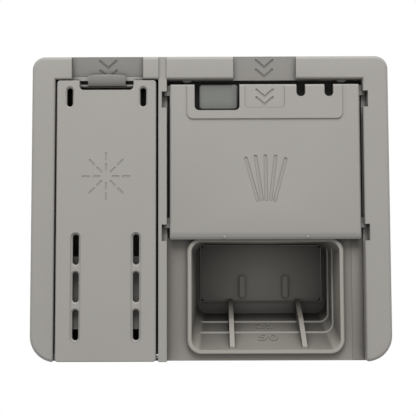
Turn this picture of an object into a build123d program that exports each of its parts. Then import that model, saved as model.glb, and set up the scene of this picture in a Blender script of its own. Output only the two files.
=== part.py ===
from build123d import *
import os

# Dishwasher detergent and rinse-aid dispenser, in millimetres.
# X runs to the right as seen from the tub, Z up, and Y into the door.
# The origin is the centre of the seal face that lies on the door sheet.

# Front frame and flange
FRAME_W = 178.0
FRAME_H = 151.8
TOP_CORNER_R = 6.5
BOTTOM_CORNER_R = 12.8
FRONT_EDGE_R = 2.0
BAY_EDGE_R = 1.1
LEFT_BORDER_W = 11.7
RINSE_BAY_SHARE = 0.28933
RAIL_W = 4.1
RIGHT_BORDER_W = 12.8
TOP_BAR_H = 11.6
BAY_D = 7.0
RAIL_DROP = 0.8
PLATE_T = 2.0
GASKET_T = 1.5
WALL = 2.0
FACE_GAP = 0.3

# Finger recesses in the top bar
RECESS_TOP_D = 0.7
RECESS_LOW_D = 4.6
RINSE_RECESS_W = 35.8
RINSE_RECESS_SHIFT = 0.25
RINSE_LEDGE_H = 2.0
RINSE_LEDGE_D = 3.9
LID_RECESS_W = 31.4
STOP_R = 3.4
STOP_RAISE = 2.2
STOP_SET = 3.2

# Body behind the door sheet
FLANGE_MARGIN = 5.2
SKIRT_D = 24.0
GASKET_INSET = 0.5
GASKET_W = 2.6
HOOK_L = 12.0
HOOK_OUT = 1.5
HOOK_GAP = 0.8
HOOK_H = 5.0
HOOK_SHARE = 0.31

# Rinse-aid bay, deck and tank
POCKET_LAND_L = 1.0
POCKET_LAND_R = 1.4
POCKET_TOP_GAP = 2.0
POCKET_LOW_GAP = 9.9
POCKET_D = 15.5
DECK_H = 36.0
DECK_LOW_GAP = 15.9
DECK_TOP_RISE = 0.4
DECK_LOW_RISE = 2.6
FILLER_R = 8.0
FILLER_WALL = 2.2
FILLER_RISE = 3.2
FILLER_TUBE = 9.0
TANK_D = 24.0
TANK_EDGE_R = 4.0

# Detergent cup
CUP_SIDE_MARGIN = 12.1
CUP_SHARE = 0.35112
CUP_RIM_T = 2.2
CUP_CORNER_R = 5.0
CUP_LOW_MARGIN = 5.6
CUP_RIM_RISE = 3.0
CUP_DEPTH = 39.0
CUP_SIDE_DRAFT = 2.4
CUP_TOP_DRAFT = 0.6
CUP_SLOPE = 15.4
CUP_COLLAR_W = 2.0
CUP_COLLAR_T = 1.5
RIM_EDGE = 0.55
FLOOR_STEP = 1.0
FLOOR_MARGIN = 1.6
FLOOR_TOP_MARGIN = 0.4
RIB_SHIFT = 1.4
FLOOR_STEP_H = 31.0
FIN_X = 18.0
FIN_T = 2.4
FIN_START = 1.6
FIN_LOW_H = 1.4
FIN_KNEE = 19.0
FIN_KNEE_H = 14.0
FIN_TOP_H = 23.0
FIN_TOP_D = 2.5
FLOOR_RIB_X = 11.6
FLOOR_RIB_W = 2.8
FLOOR_RIB_H = 11.4
FLOOR_RIB_RISE = 1.4

# Sliding detergent lid
LID_SIDE_GAP = 1.6
LID_TOP_GAP = 2.6
LID_CUP_GAP = 1.2
LID_LAP = 1.9
LID_T = 1.8
LID_SET = 0.8
LID_EDGE = 0.7
LID_CORNER_R = 0.8
PANEL_RISE = 0.6
PANEL_MARGIN = 8.4
PANEL_H = 17.6
PANEL_R = 3.1
CUTOUT_W = 22.5
CUTOUT_SHARE = 0.2487
CUTOUT_H = 13.2
CUTOUT_R = 2.3
PAD_W = 20.1
PAD_H = 12.1
PAD_D = 0.35
PAD_R = 2.0
USLOT_W = 4.5
USLOT_H = 6.3
USLOT_SHARES = (0.3094, 0.1616)
SKIRT_T = 1.6
LUG_H = 5.0
LUG_T = 1.6
LUG_OUT = 1.3
LUG_RAISE = 8.3
LUG_DROP = 2.6
NOTCH_H = 8.2
NOTCH_D = 2.5
NOTCH_OFFSET = 5.0
GROOVE_CLEAR = 0.35
SEAL_T = 1.1
SEAL_W = 2.4
CATCH_W = 11.0
CATCH_T = 2.0
CATCH_OFFSET = 1.1

# Black sheet on the bay floor behind the lid
LINER_T = 0.4
LINER_GAP = 0.1
LINER_RAISE = 1.0
LINER_HOLE_R = 5.2

# Lid spring
LID_SPRING_R = 1.3
LID_SPRING_WIRE = 0.35
LID_SPRING_COILS = 7
LID_SPRING_L = 46.0
PEG_R = 1.2
PEG_INSET_X = 6.8

# Rinse-aid lid, its hinge and its latch
RINSE_GAP_L = 0.85
RINSE_GAP_R = 1.2
RINSE_GAP_TOP = 0.5
RINSE_GAP_LOW = 0.3
RINSE_LID_T = 2.0
RINSE_SET = 0.2
RINSE_EDGE = 0.45
RINSE_CORNER_R = 1.5
RINSE_SKIRT_H = 1.7
LATCH_NOTCH_W = 27.1
LATCH_NOTCH_H = 4.9
LATCH_NOTCH_R = 2.2
TOP_SLOT_W = 3.0
TOP_SLOT_H = 9.4
TOP_SLOT_X = 18.3
TOP_SLOT_DROP = 8.5
LOW_SLOT_W = 3.1
LOW_SLOT_X = 14.9
LOW_SLOT_H = 15.0
LOW_SLOT_PITCH = 18.5
LOW_SLOT_RAISE = 36.4
SLOT_CHAMFER = 0.7
CHANNEL_D = 0.3
HINGE_PIN_R = 1.25
HINGE_Z = 2.6
HINGE_BACK = 3.6
HINGE_BARREL_R = 2.2
HINGE_KNUCKLE_L = 9.0
HINGE_BITE = 2.4
PIN_CLEAR = 0.05
TONGUE_W = 18.8
TONGUE_CREST = 3.2
TONGUE_DROP = 4.2
TONGUE_T = 1.3
TONGUE_SAG = 0.7
TONGUE_SET = 0.6
TONGUE_BEND = 0.7
TONGUE_KNEE = 3.4
TONGUE_BACK = 2.6
LATCH_PIN_R = 0.9
LATCH_PIN_BACK = 4.4
LATCH_PIN_DROP = 2.2
LATCH_BOSS_W = 2.4
FILLER_SEAL_R = 12.0
FILLER_SEAL_IN_R = 8.6
COLLAR_T = 0.8
COLLAR_H = 1.0

# Release button
BUTTON_W = 19.25
BUTTON_SHIFT = 0.7
BUTTON_H = 12.7
BUTTON_TOP_GAP = 2.3
BUTTON_SET = 2.9
BUTTON_TRAVEL = 1.8
BUTTON_R = 1.6
BUTTON_EDGE = 0.5
STEM_R = 2.6
STEM_OUT = 9.0
CLIP_R = 4.4
CLIP_T = 1.0
CLIP_BITE = 0.6
BUTTON_SPRING_R = 3.8
BUTTON_SPRING_WIRE = 0.4
BUTTON_SPRING_COILS = 2

# Release shaft, pawl and dosing valve
SHAFT_R = 2.0
SHAFT_Y = 6.0
SHAFT_RAISE = 19.4
SHAFT_END = 4.0
HUB_R = 4.4
PAWL_W = 8.0
PAWL_T = 3.4
PAWL_OVER = 0.6
PAWL_SET = 0.2
PAWL_THROW = 9.0
WINDOW_CLEAR = 0.8
CRANK_L = 12.0
CRANK_T = 2.4
BRACKET_T = 3.0
BRACKET_W = 9.0
BRACKET_GAP = 0.5
VALVE_INSET = 8.8
VALVE_ARM = 14.0
VALVE_ARM_W = 6.0
VALVE_ARM_T = 2.0
VALVE_PAD_R = 3.6
VALVE_PAD_T = 1.6
OUTLET_R = 2.0
SEAL_RING_R = 4.4

# Solenoid
YOKE_W = 25.0
YOKE_D = 20.0
YOKE_H = 30.0
YOKE_T = 2.0
YOKE_RAISE = 7.0
BOBBIN_R = 5.0
BOBBIN_FLANGE_T = 1.5
BOBBIN_FLANGE_R = 7.8
COIL_R = 7.2
PLUNGER_R = 4.0
PLUNGER_CLEAR = 0.08
PLUNGER_L = 26.0
NECK_R = 2.0
NECK_H = 4.4
FOOT_H = 2.0
FORK_CLEAR = 0.5
TERMINAL_W = 6.3
TERMINAL_T = 0.8
TERMINAL_PITCH = 11.0
TERMINAL_OUT = 10.0
PLUNGER_SPRING_WIRE = 0.4
PLUNGER_SPRING_COILS = 2

# Rear cover
COVER_D = 9.0
COVER_EDGE_R = 3.0
DIVIDER_GAP = 5.5
COVER_SIDE_GAP = 1.5
SCREW_R = 1.5
SCREW_HEAD_R = 3.5
SCREW_HEAD_H = 2.2
SCREW_L = 17.0
SCREW_BOSS_R = 3.6
SCREW_INSET = 6.5
SHROUD_W = 26.0
SHROUD_H = 11.0
SHROUD_L = 12.0

# Level float and sensor
FLOAT_R = 7.0
FLOAT_H = 12.0
FLOAT_INSET = 10.3
FLOAT_ROD_R = 2.0
FLOAT_TRAVEL = 16.0
FLOAT_CLEAR = 0.1
MAGNET_R = 5.4
MAGNET_IN_R = 3.4
MAGNET_H = 3.0
SENSOR_W = 9.0
SENSOR_H = 22.0
SENSOR_T = 4.5
SENSOR_CLIP_T = 1.2
SENSOR_PIN = 0.8
SENSOR_RAISE = 8.0

# Planes and edges that follow from the sizes above
TOP_Z = FRAME_H / 2
LOW_Z = -FRAME_H / 2
LEFT_X = -FRAME_W / 2
RIGHT_X = FRAME_W / 2
FLANGE_BACK_Y = -GASKET_T
FLOOR_Y = FLANGE_BACK_Y - PLATE_T
FRONT_Y = FLOOR_Y - BAY_D
BAY_TOP_Z = TOP_Z - TOP_BAR_H
RINSE_X0 = LEFT_X + LEFT_BORDER_W
RINSE_X1 = RINSE_X0 + FRAME_W * RINSE_BAY_SHARE
BAY_X0 = RINSE_X1 + RAIL_W
BAY_X1 = RIGHT_X - RIGHT_BORDER_W
BAY_X = (BAY_X0 + BAY_X1) / 2
RINSE_RECESS_X = (RINSE_X0 + RINSE_X1) / 2 + RINSE_RECESS_SHIFT
SKIRT_Y = FLANGE_BACK_Y + SKIRT_D
POCKET_X0 = RINSE_X0 + POCKET_LAND_L
POCKET_X1 = RINSE_X1 - POCKET_LAND_R
POCKET_Z1 = BAY_TOP_Z - POCKET_TOP_GAP
POCKET_LOW_Z = LOW_Z + POCKET_LOW_GAP
DECK_LOW_Z = LOW_Z + DECK_LOW_GAP
DECK_TOP_Z = DECK_LOW_Z + DECK_H
FILLER_X = (POCKET_X0 + POCKET_X1) / 2
FILLER_Z = (DECK_LOW_Z + DECK_TOP_Z) / 2
POCKET_Y = FLOOR_Y + POCKET_D
TANK_Y = POCKET_Y + WALL
RIM_Y = FLOOR_Y - CUP_RIM_RISE
CUP_FLOOR_Y = RIM_Y + CUP_DEPTH
CUP_IN_W = BAY_X1 - BAY_X0 - 2 * CUP_SIDE_MARGIN
CUP_IN_H = FRAME_H * CUP_SHARE
CUP_Z0 = LOW_Z + CUP_LOW_MARGIN
CUP_Z1 = CUP_Z0 + CUP_IN_H
DIVIDER_Z = CUP_Z1 + DIVIDER_GAP
LID_X0 = BAY_X0 + LID_SIDE_GAP
LID_X1 = BAY_X1 - LID_SIDE_GAP
LID_Z1 = BAY_TOP_Z - LID_TOP_GAP
LID_Z0 = CUP_Z1 + LID_CUP_GAP
LID_H = LID_Z1 - LID_Z0
LID_W = LID_X1 - LID_X0
LID_TRAVEL = LID_Z0 - CUP_Z0 + CUP_RIM_T + LID_LAP
LID_Y = FRONT_Y + LID_SET
LID_BACK_Y = LID_Y + LID_T
LUG_Z = LID_Z1 - LUG_DROP
LUG_SPAN = LID_H - LUG_DROP - LUG_RAISE
LUG_Y0 = LID_BACK_Y + 1.1
LUG_Y1 = LUG_Y0 + LUG_T
RINSE_LID_X0 = RINSE_X0 + RINSE_GAP_L
RINSE_LID_X1 = RINSE_X1 - RINSE_GAP_R
RINSE_LID_X = (RINSE_LID_X0 + RINSE_LID_X1) / 2
RINSE_LID_Z0 = LOW_Z + RINSE_GAP_LOW
RINSE_LID_Z1 = BAY_TOP_Z - RINSE_GAP_TOP
RINSE_Y = FRONT_Y + RINSE_SET
RINSE_BACK_Y = RINSE_Y + RINSE_LID_T
HINGE_PIN_Y = RINSE_Y + HINGE_BACK
HINGE_PIN_Z = RINSE_LID_Z0 + HINGE_Z
LATCH_PIN_Y = RINSE_Y + LATCH_PIN_BACK
LATCH_PIN_Z = RINSE_LID_Z1 - LATCH_PIN_DROP
CUTOUT_X = LID_X0 + LID_W * CUTOUT_SHARE
BUTTON_X = CUTOUT_X + BUTTON_SHIFT
TOP_SLOT_Z = RINSE_LID_Z1 - TOP_SLOT_DROP
LOW_SLOT_Z = RINSE_LID_Z0 + LOW_SLOT_RAISE
LINER_Y = FLOOR_Y - LINER_T
CATCH_LOW_Y = FLOOR_Y - PAWL_SET - 1.0
PAWL_X = BAY_X
PAWL_Z = LID_Z1 - LID_TRAVEL - CATCH_OFFSET + PAWL_OVER
SHAFT_Z = PAWL_Z + SHAFT_RAISE
VALVE_X = POCKET_X1 - VALVE_INSET
SHAFT_LEFT_X = VALVE_X - SHAFT_END
PAWL_TIP_Y = FLOOR_Y + PAWL_SET
PLUNGER_Y = SHAFT_Y + CRANK_L
YOKE_Z = SHAFT_Z + YOKE_RAISE
YOKE_Z1 = YOKE_Z + YOKE_H
COVER_X0 = POCKET_X1 + WALL + COVER_SIDE_GAP
COVER_X1 = RIGHT_X - FLANGE_MARGIN
COVER_Z1 = TOP_Z - FLANGE_MARGIN
COVER_Y = SKIRT_Y + COVER_D
PEG_X = BAY_X0 + PEG_INSET_X
PEG_Y = (FLOOR_Y + LID_BACK_Y) / 2
PEG_Z = LID_Z1 - 2.0
POST_Z = PEG_Z - LID_SPRING_L
BUTTON_Y = FRONT_Y + BUTTON_SET
BUTTON_CAP_D = LINER_Y - FACE_GAP - BUTTON_TRAVEL - BUTTON_Y
BUTTON_Z1 = BAY_TOP_Z - BUTTON_TOP_GAP
BUTTON_Z = BUTTON_Z1 - BUTTON_H / 2
TANK_BACK_Y = TANK_Y + TANK_D
FLOAT_X = POCKET_X0 + FLOAT_INSET
FLOAT_Y = TANK_Y + TANK_D / 2
FLOAT_Z = POCKET_LOW_Z + FACE_GAP
SENSOR_Z = POCKET_LOW_Z + SENSOR_RAISE
PANEL_X0 = LID_X0 + PANEL_MARGIN
PANEL_X1 = LID_X1 - PANEL_MARGIN
NOTCH_X0 = RINSE_LID_X - LATCH_NOTCH_W / 2
NOTCH_X1 = RINSE_LID_X + LATCH_NOTCH_W / 2
FILLER_TOP_Y = FLOOR_Y - FILLER_RISE
SCREW_X = (COVER_X0 + SCREW_INSET, COVER_X1 - SCREW_INSET)
SCREW_Z = (DIVIDER_Z + SCREW_INSET, COVER_Z1 - SCREW_INSET)
BLADE_Z = YOKE_Z1 + 2.0
HUB_X0 = PAWL_X - PAWL_W / 2 - 2.5
HUB_X1 = PAWL_X + PAWL_W / 2 + 2.5
SHAFT_RIGHT_X = HUB_X1 + BRACKET_GAP + BRACKET_T / 2


def block(x0, x1, y0, y1, z0, z1):
    centre = Pos((x0 + x1) / 2, (y0 + y1) / 2, (z0 + z1) / 2)
    return centre * Box(x1 - x0, y1 - y0, z1 - z0)


def prism(sketch, y0, y1):
    # A sketch drawn in X and Z, run from y0 to y1.
    plane = Plane(origin=(0, y1, 0), x_dir=(1, 0, 0), z_dir=(0, -1, 0))
    return extrude(plane * sketch, y1 - y0)


def side_prism(points, x0, x1):
    # A polygon of (Y, Z) points, run from x0 to x1.
    face = make_face(Polyline(*points, close=True))
    return extrude(Plane.YZ.offset(x0) * face, x1 - x0)


def panel(x0, x1, z0, z1, radius):
    return Pos((x0 + x1) / 2, (z0 + z1) / 2) * RectangleRounded(x1 - x0, z1 - z0, radius)


def slot_sketch(x, z, width, height):
    return Pos(x, z) * SlotOverall(height, width, rotation=90)


def rod_x(x0, x1, y, z, radius):
    return Pos((x0 + x1) / 2, y, z) * Rot(0, 90, 0) * Cylinder(radius, x1 - x0)


def rod_y(x, y0, y1, z, radius):
    return Pos(x, (y0 + y1) / 2, z) * Rot(90, 0, 0) * Cylinder(radius, y1 - y0)


def rod_z(x, y, z0, z1, radius):
    return Pos(x, y, (z0 + z1) / 2) * Cylinder(radius, z1 - z0)


def flange_outline(inset):
    sketch = Rectangle(FRAME_W - 2 * inset, FRAME_H - 2 * inset)
    sketch = fillet(sketch.vertices().group_by(Axis.Y)[-1], max(TOP_CORNER_R - inset, 1.0))
    return fillet(sketch.vertices().group_by(Axis.Y)[0], max(BOTTOM_CORNER_R - inset, 1.0))


def open_top_panel(x0, x1, z0, z1, radius):
    # A rectangle whose two lower corners alone are rounded.
    sketch = Pos((x0 + x1) / 2, (z0 + z1) / 2) * Rectangle(x1 - x0, z1 - z0)
    return fillet(sketch.vertices().group_by(Axis.Y)[0], radius)


def coil(radius, wire, turns, length):
    path = Helix(pitch=length / turns, height=length, radius=radius)
    profile = Plane(origin=path @ 0, z_dir=path % 0) * RegularPolygon(wire, 4)
    return sweep(profile, path=path)


def front_frame():
    body = prism(flange_outline(0), FRONT_Y, FLOOR_Y)
    body = fillet(body.faces().sort_by(Axis.Y)[0].edges(), FRONT_EDGE_R)
    over = FRAME_H
    body -= block(RINSE_X0, RINSE_X1, FRONT_Y - 1, FLOOR_Y + 1, -over, BAY_TOP_Z)
    body -= block(BAY_X0, BAY_X1, FRONT_Y - 1, FLOOR_Y + 1, -over, BAY_TOP_Z)
    front = body.edges().filter_by(lambda e: abs(e.center().Y - FRONT_Y) < 0.01)
    inner = front.filter_by(
        lambda e: abs(e.center().Z - BAY_TOP_Z) < 0.01
        or min(abs(e.center().X - x) for x in (RINSE_X0, BAY_X1)) < 0.01
    )
    body = fillet(inner, BAY_EDGE_R)
    body -= block(RINSE_X1, BAY_X0, FRONT_Y - 1, FRONT_Y + RAIL_DROP, LOW_Z - 1, TOP_Z + 1)
    ledge_z = BAY_TOP_Z + RINSE_LEDGE_H
    for x, width, low_z in (
        (RINSE_RECESS_X, RINSE_RECESS_W, ledge_z),
        (BAY_X, LID_RECESS_W, BAY_TOP_Z - 1),
    ):
        slope = [
            (FRONT_Y - 1, TOP_Z + 1),
            (FRONT_Y + RECESS_TOP_D, TOP_Z + 1),
            (FRONT_Y + RECESS_LOW_D, low_z),
            (FRONT_Y - 1, low_z),
        ]
        body -= side_prism(slope, x - width / 2, x + width / 2)
    ledge = panel(
        RINSE_RECESS_X - RINSE_RECESS_W / 2,
        RINSE_RECESS_X + RINSE_RECESS_W / 2,
        BAY_TOP_Z - 3,
        ledge_z + 0.01,
        0.0001,
    )
    body -= prism(ledge, FRONT_Y - 1, FRONT_Y + RINSE_LEDGE_D)
    groove_d = LUG_OUT + GROOVE_CLEAR
    for wall_x, out in ((BAY_X0, -1), (BAY_X1, 1)):
        x_in = wall_x - out * 0.5
        x_out = wall_x + out * groove_d
        low = LUG_Z - LUG_SPAN - LID_TRAVEL - LUG_H
        body -= block(
            min(x_in, x_out),
            max(x_in, x_out),
            LUG_Y0 - GROOVE_CLEAR,
            LUG_Y1 + GROOVE_CLEAR,
            max(low, LOW_Z + 1.5),
            LUG_Z + LUG_H / 2 + 0.5,
        )
        x_out = wall_x + out * NOTCH_D
        for lug_z in (LUG_Z, LUG_Z - LUG_SPAN):
            body -= block(
                min(x_in, x_out),
                max(x_in, x_out),
                FRONT_Y - 1,
                LUG_Y1 + GROOVE_CLEAR,
                lug_z - NOTCH_OFFSET - NOTCH_H / 2,
                lug_z - NOTCH_OFFSET + NOTCH_H / 2,
            )
    body -= rod_x(RINSE_X0 - HINGE_BITE, RINSE_X1 + HINGE_BITE, HINGE_PIN_Y, HINGE_PIN_Z, HINGE_PIN_R)
    hollow_y = FRONT_Y + WALL + 0.4
    low_z = LOW_Z + BOTTOM_CORNER_R
    body -= block(LEFT_X + WALL, RINSE_X0 - WALL, hollow_y, FLOOR_Y + 1, low_z, BAY_TOP_Z)
    body -= block(BAY_X1 + NOTCH_D + WALL, RIGHT_X - WALL, hollow_y, FLOOR_Y + 1, low_z, BAY_TOP_Z)
    for x in (PANEL_X0, PANEL_X1):
        body += lid_stop(x, FRONT_Y + STOP_SET, STOP_R) - block(
            x - 9, x + 9, FRONT_Y, FLOOR_Y + 1, BAY_TOP_Z + 2, BAY_TOP_Z + 9
        )
    return body


def lid_stop(x, y, radius):
    # A round stop under the top bar, where the open lid comes to rest.
    return prism(Pos(x, BAY_TOP_Z + STOP_RAISE) * Circle(radius), y, FLOOR_Y)


def cup_space(grow):
    # The room inside the cup, or its outside when grown by a wall.
    half = CUP_IN_W / 2 + grow
    radius = CUP_CORNER_R + grow
    mouth = panel(BAY_X - half, BAY_X + half, CUP_Z0 - grow, CUP_Z1 + grow, radius)
    half -= CUP_SIDE_DRAFT
    low = CUP_Z0 - grow + CUP_SLOPE
    floor = panel(BAY_X - half, BAY_X + half, low, CUP_Z1 + grow - CUP_TOP_DRAFT, radius)
    front = Plane(origin=(0, RIM_Y, 0), x_dir=(1, 0, 0), z_dir=(0, -1, 0))
    back = Plane(origin=(0, CUP_FLOOR_Y + grow, 0), x_dir=(1, 0, 0), z_dir=(0, -1, 0))
    return loft([(front * mouth).face(), (back * floor).face()], ruled=True)


def base_plate():
    body = prism(flange_outline(0), FLOOR_Y, FLANGE_BACK_Y)
    skirt = prism(flange_outline(FLANGE_MARGIN), FLANGE_BACK_Y, SKIRT_Y)
    body += skirt - prism(flange_outline(FLANGE_MARGIN + WALL), FLANGE_BACK_Y, SKIRT_Y)
    bite = FLANGE_BACK_Y - 0.5
    body += block(
        POCKET_X0 - WALL, POCKET_X1 + WALL, bite, TANK_Y, POCKET_LOW_Z - WALL, POCKET_Z1 + WALL
    )
    body += block(COVER_X0, COVER_X1 - 1, bite, SKIRT_Y, DIVIDER_Z, DIVIDER_Z + WALL)
    body += block(COVER_X0, COVER_X0 + WALL, bite, SKIRT_Y, DIVIDER_Z, COVER_Z1 - 1)
    for x in SCREW_X:
        for z in SCREW_Z:
            body += rod_y(x, bite, SKIRT_Y, z, SCREW_BOSS_R)
            body -= rod_y(x, SKIRT_Y - SCREW_L, SKIRT_Y, z, SCREW_R + PIN_CLEAR)
    body -= block(POCKET_X0, POCKET_X1, FLOOR_Y - 1, POCKET_Y, POCKET_LOW_Z, POCKET_Z1)
    body -= block(
        POCKET_X0 + WALL, POCKET_X1 - WALL, POCKET_Y - 1, TANK_Y + 1, DECK_LOW_Z + WALL, DECK_TOP_Z - WALL
    )
    body -= rod_y(VALVE_X, POCKET_Y - 1, TANK_Y + 1, SHAFT_Z + VALVE_ARM, OUTLET_R)
    body -= rod_x(POCKET_X1 - 1, COVER_X0 + WALL + 1, SHAFT_Y, SHAFT_Z, SHAFT_R + PIN_CLEAR)
    for x in (HUB_X0 - BRACKET_GAP - BRACKET_T, HUB_X1 + BRACKET_GAP):
        foot = block(x, x + BRACKET_T, bite, SHAFT_Y, SHAFT_Z - BRACKET_W / 2, SHAFT_Z + BRACKET_W / 2)
        body += foot + rod_x(x, x + BRACKET_T, SHAFT_Y, SHAFT_Z, BRACKET_W / 2)
        body -= rod_x(x - 1, x + BRACKET_T + 1, SHAFT_Y, SHAFT_Z, SHAFT_R + PIN_CLEAR)
    for z in (YOKE_Z, YOKE_Z1 - YOKE_T):
        x0 = PAWL_X - YOKE_W / 2
        body += block(x0, x0 + YOKE_W, bite, PLUNGER_Y - YOKE_D / 2, z, z + YOKE_T)
    body -= pawl_window()
    body -= rod_y(BUTTON_X, FLOOR_Y - 1, FLANGE_BACK_Y + 1, BUTTON_Z, STEM_R + PIN_CLEAR)
    body += rod_y(PEG_X, LID_BACK_Y + 2 * FACE_GAP, FLOOR_Y + 0.5, PEG_Z, PEG_R)
    body -= cup_space(CUP_RIM_T + 0.1)
    hook_y = HOOK_GAP
    for x in (-FRAME_W * HOOK_SHARE, 0.0, FRAME_W * HOOK_SHARE):
        for z, out in ((COVER_Z1, 1), (-COVER_Z1, -1)):
            wedge = [
                (hook_y, z - out),
                (hook_y, z + out * HOOK_OUT),
                (hook_y + HOOK_H, z),
                (hook_y + HOOK_H, z - out),
            ]
            body += side_prism(wedge, x - HOOK_L / 2, x + HOOK_L / 2)
    return body


def filler_neck():
    # The sloped deck with the filler tube, welded into the rinse-aid bay.
    x0 = POCKET_X0 + PIN_CLEAR
    x1 = POCKET_X1 - PIN_CLEAR
    deck = [
        (POCKET_Y, DECK_TOP_Z),
        (FLOOR_Y - DECK_TOP_RISE, DECK_TOP_Z),
        (FLOOR_Y - DECK_LOW_RISE, DECK_LOW_Z),
        (POCKET_Y, DECK_LOW_Z),
    ]
    inside = [
        (POCKET_Y + 1, DECK_TOP_Z - WALL),
        (FLOOR_Y - DECK_TOP_RISE + WALL, DECK_TOP_Z - WALL),
        (FLOOR_Y - DECK_LOW_RISE + WALL, DECK_LOW_Z + WALL),
        (POCKET_Y + 1, DECK_LOW_Z + WALL),
    ]
    body = side_prism(deck, x0, x1) - side_prism(inside, x0 + WALL, x1 - WALL)
    body += rod_y(FILLER_X, FILLER_TOP_Y, FILLER_TOP_Y + FILLER_TUBE, FILLER_Z, FILLER_R + FILLER_WALL)
    return body - rod_y(FILLER_X, FILLER_TOP_Y - 1, FILLER_TOP_Y + FILLER_TUBE + 1, FILLER_Z, FILLER_R)


def bay_liner():
    # A thin black sheet on the bay floor, seen only through the gaps around the lid.
    x0 = BAY_X0 + LINER_GAP
    x1 = BAY_X1 - LINER_GAP
    sheet = block(x0, x1, LINER_Y, FLOOR_Y, LID_Z0 + LINER_RAISE, BAY_TOP_Z - LINER_GAP)
    sheet -= pawl_window()
    for x in (PANEL_X0, PANEL_X1):
        sheet -= lid_stop(x, LINER_Y - 1, STOP_R + LINER_GAP)
    sheet -= rod_y(BUTTON_X, LINER_Y - 1, FLOOR_Y + 1, BUTTON_Z, LINER_HOLE_R)
    return sheet - rod_y(PEG_X, LINER_Y - 1, FLOOR_Y + 1, PEG_Z, PEG_R + LINER_GAP)


def pawl_window():
    return block(
        PAWL_X - PAWL_W / 2 - WINDOW_CLEAR,
        PAWL_X + PAWL_W / 2 + WINDOW_CLEAR,
        LINER_Y - 1,
        FLANGE_BACK_Y + 1,
        PAWL_Z - PAWL_T / 2 - WINDOW_CLEAR,
        PAWL_Z + PAWL_T / 2 + 2.2 + WINDOW_CLEAR,
    )


def detergent_cup():
    shell = cup_space(CUP_RIM_T)
    rim_w = CUP_IN_W / 2 + CUP_RIM_T - 0.05
    rim_h = CUP_RIM_T - 0.05
    outline = panel(BAY_X - rim_w, BAY_X + rim_w, CUP_Z0 - rim_h, CUP_Z1 + rim_h, CUP_CORNER_R + rim_h)
    rounded = prism(outline, RIM_Y, CUP_FLOOR_Y + 9)
    shell &= chamfer(rounded.faces().sort_by(Axis.Y)[0].edges(), RIM_EDGE)
    collar = cup_space(CUP_RIM_T + CUP_COLLAR_W)
    collar &= prism(flange_outline(FLANGE_MARGIN + WALL + 0.2), FLANGE_BACK_Y, FLANGE_BACK_Y + CUP_COLLAR_T)
    collar -= block(BAY_X - CUP_IN_W, BAY_X + CUP_IN_W, FLANGE_BACK_Y - 1, SKIRT_Y, DIVIDER_Z - 0.2, CUP_Z1 + 9)
    shell += collar
    room = cup_space(0)
    shell -= room
    floor_top = CUP_Z1 - CUP_TOP_DRAFT
    floor_x = CUP_IN_W / 2 - CUP_SIDE_DRAFT - FLOOR_MARGIN
    step = panel(BAY_X - floor_x, BAY_X + floor_x, floor_top - FLOOR_STEP_H, floor_top - FLOOR_TOP_MARGIN, 3.0)
    raised = prism(step, CUP_FLOOR_Y - FLOOR_STEP, CUP_FLOOR_Y + 0.5)
    raised = chamfer(raised.faces().sort_by(Axis.Y)[0].edges(), 0.6)
    shell += raised
    for side in (-1, 1):
        x = BAY_X + RIB_SHIFT + side * FLOOR_RIB_X
        z = floor_top - FLOOR_STEP_H + 2.4
        rib = panel(x - FLOOR_RIB_W / 2, x + FLOOR_RIB_W / 2, z, z + FLOOR_RIB_H, 1.0)
        top_y = CUP_FLOOR_Y - FLOOR_STEP - FLOOR_RIB_RISE
        shell += prism(rib, top_y, CUP_FLOOR_Y - FLOOR_STEP + 0.5)
        x = BAY_X + RIB_SHIFT + side * FIN_X
        fin = [
            (RIM_Y + FIN_START, CUP_Z0 + FIN_LOW_H),
            (RIM_Y + FIN_KNEE, CUP_Z0 + FIN_KNEE_H),
            (CUP_FLOOR_Y - FIN_TOP_D, CUP_Z0 + FIN_TOP_H),
            (CUP_FLOOR_Y + 0.5, CUP_Z0 + FIN_TOP_H),
            (CUP_FLOOR_Y + 0.5, CUP_Z0 - 4),
            (RIM_Y + FIN_START, CUP_Z0 - 4),
        ]
        shell += side_prism(fin, x - FIN_T / 2, x + FIN_T / 2) & cup_space(CUP_RIM_T / 2)
    return shell


def door_gasket():
    outer = flange_outline(GASKET_INSET)
    ring = prism(outer, FLANGE_BACK_Y, 0)
    return ring - prism(flange_outline(GASKET_INSET + GASKET_W), FLANGE_BACK_Y - 1, 1)


def rinse_tank():
    x0 = POCKET_X0 - WALL
    x1 = POCKET_X1 + WALL
    z0 = POCKET_LOW_Z - WALL
    z1 = POCKET_Z1 + WALL
    body = block(x0, x1, TANK_Y, TANK_BACK_Y, z0, z1)
    body = fillet(body.faces().sort_by(Axis.Y)[-1].edges(), TANK_EDGE_R)
    inner = block(x0 + WALL, x1 - WALL, TANK_Y - 1, TANK_BACK_Y - WALL, z0 + WALL, z1 - WALL)
    body -= fillet(inner.faces().sort_by(Axis.Y)[-1].edges(), TANK_EDGE_R - WALL)
    rod_top = FLOAT_Z + FLOAT_H + FLOAT_TRAVEL + 3
    body += rod_z(FLOAT_X, FLOAT_Y, z0 + WALL / 2, rod_top, FLOAT_ROD_R)
    for side in (-1, 1):
        x = FLOAT_X + side * (SENSOR_W + SENSOR_CLIP_T) / 2
        half = SENSOR_CLIP_T / 2
        body += block(x - half, x + half, TANK_BACK_Y - 0.5, TANK_BACK_Y + SENSOR_T, SENSOR_Z, SENSOR_Z + SENSOR_H)
    return body


def level_sensor():
    x0 = FLOAT_X - SENSOR_W / 2
    body = block(x0, x0 + SENSOR_W, TANK_BACK_Y, TANK_BACK_Y + SENSOR_T, SENSOR_Z, SENSOR_Z + SENSOR_H)
    for x in (FLOAT_X - SENSOR_W / 4, FLOAT_X + SENSOR_W / 4):
        y = TANK_BACK_Y + SENSOR_T / 2
        half = SENSOR_PIN / 2
        body += block(x - half, x + half, y - half, y + half, SENSOR_Z + SENSOR_H - 1, SENSOR_Z + SENSOR_H + 5)
    return body


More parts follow.
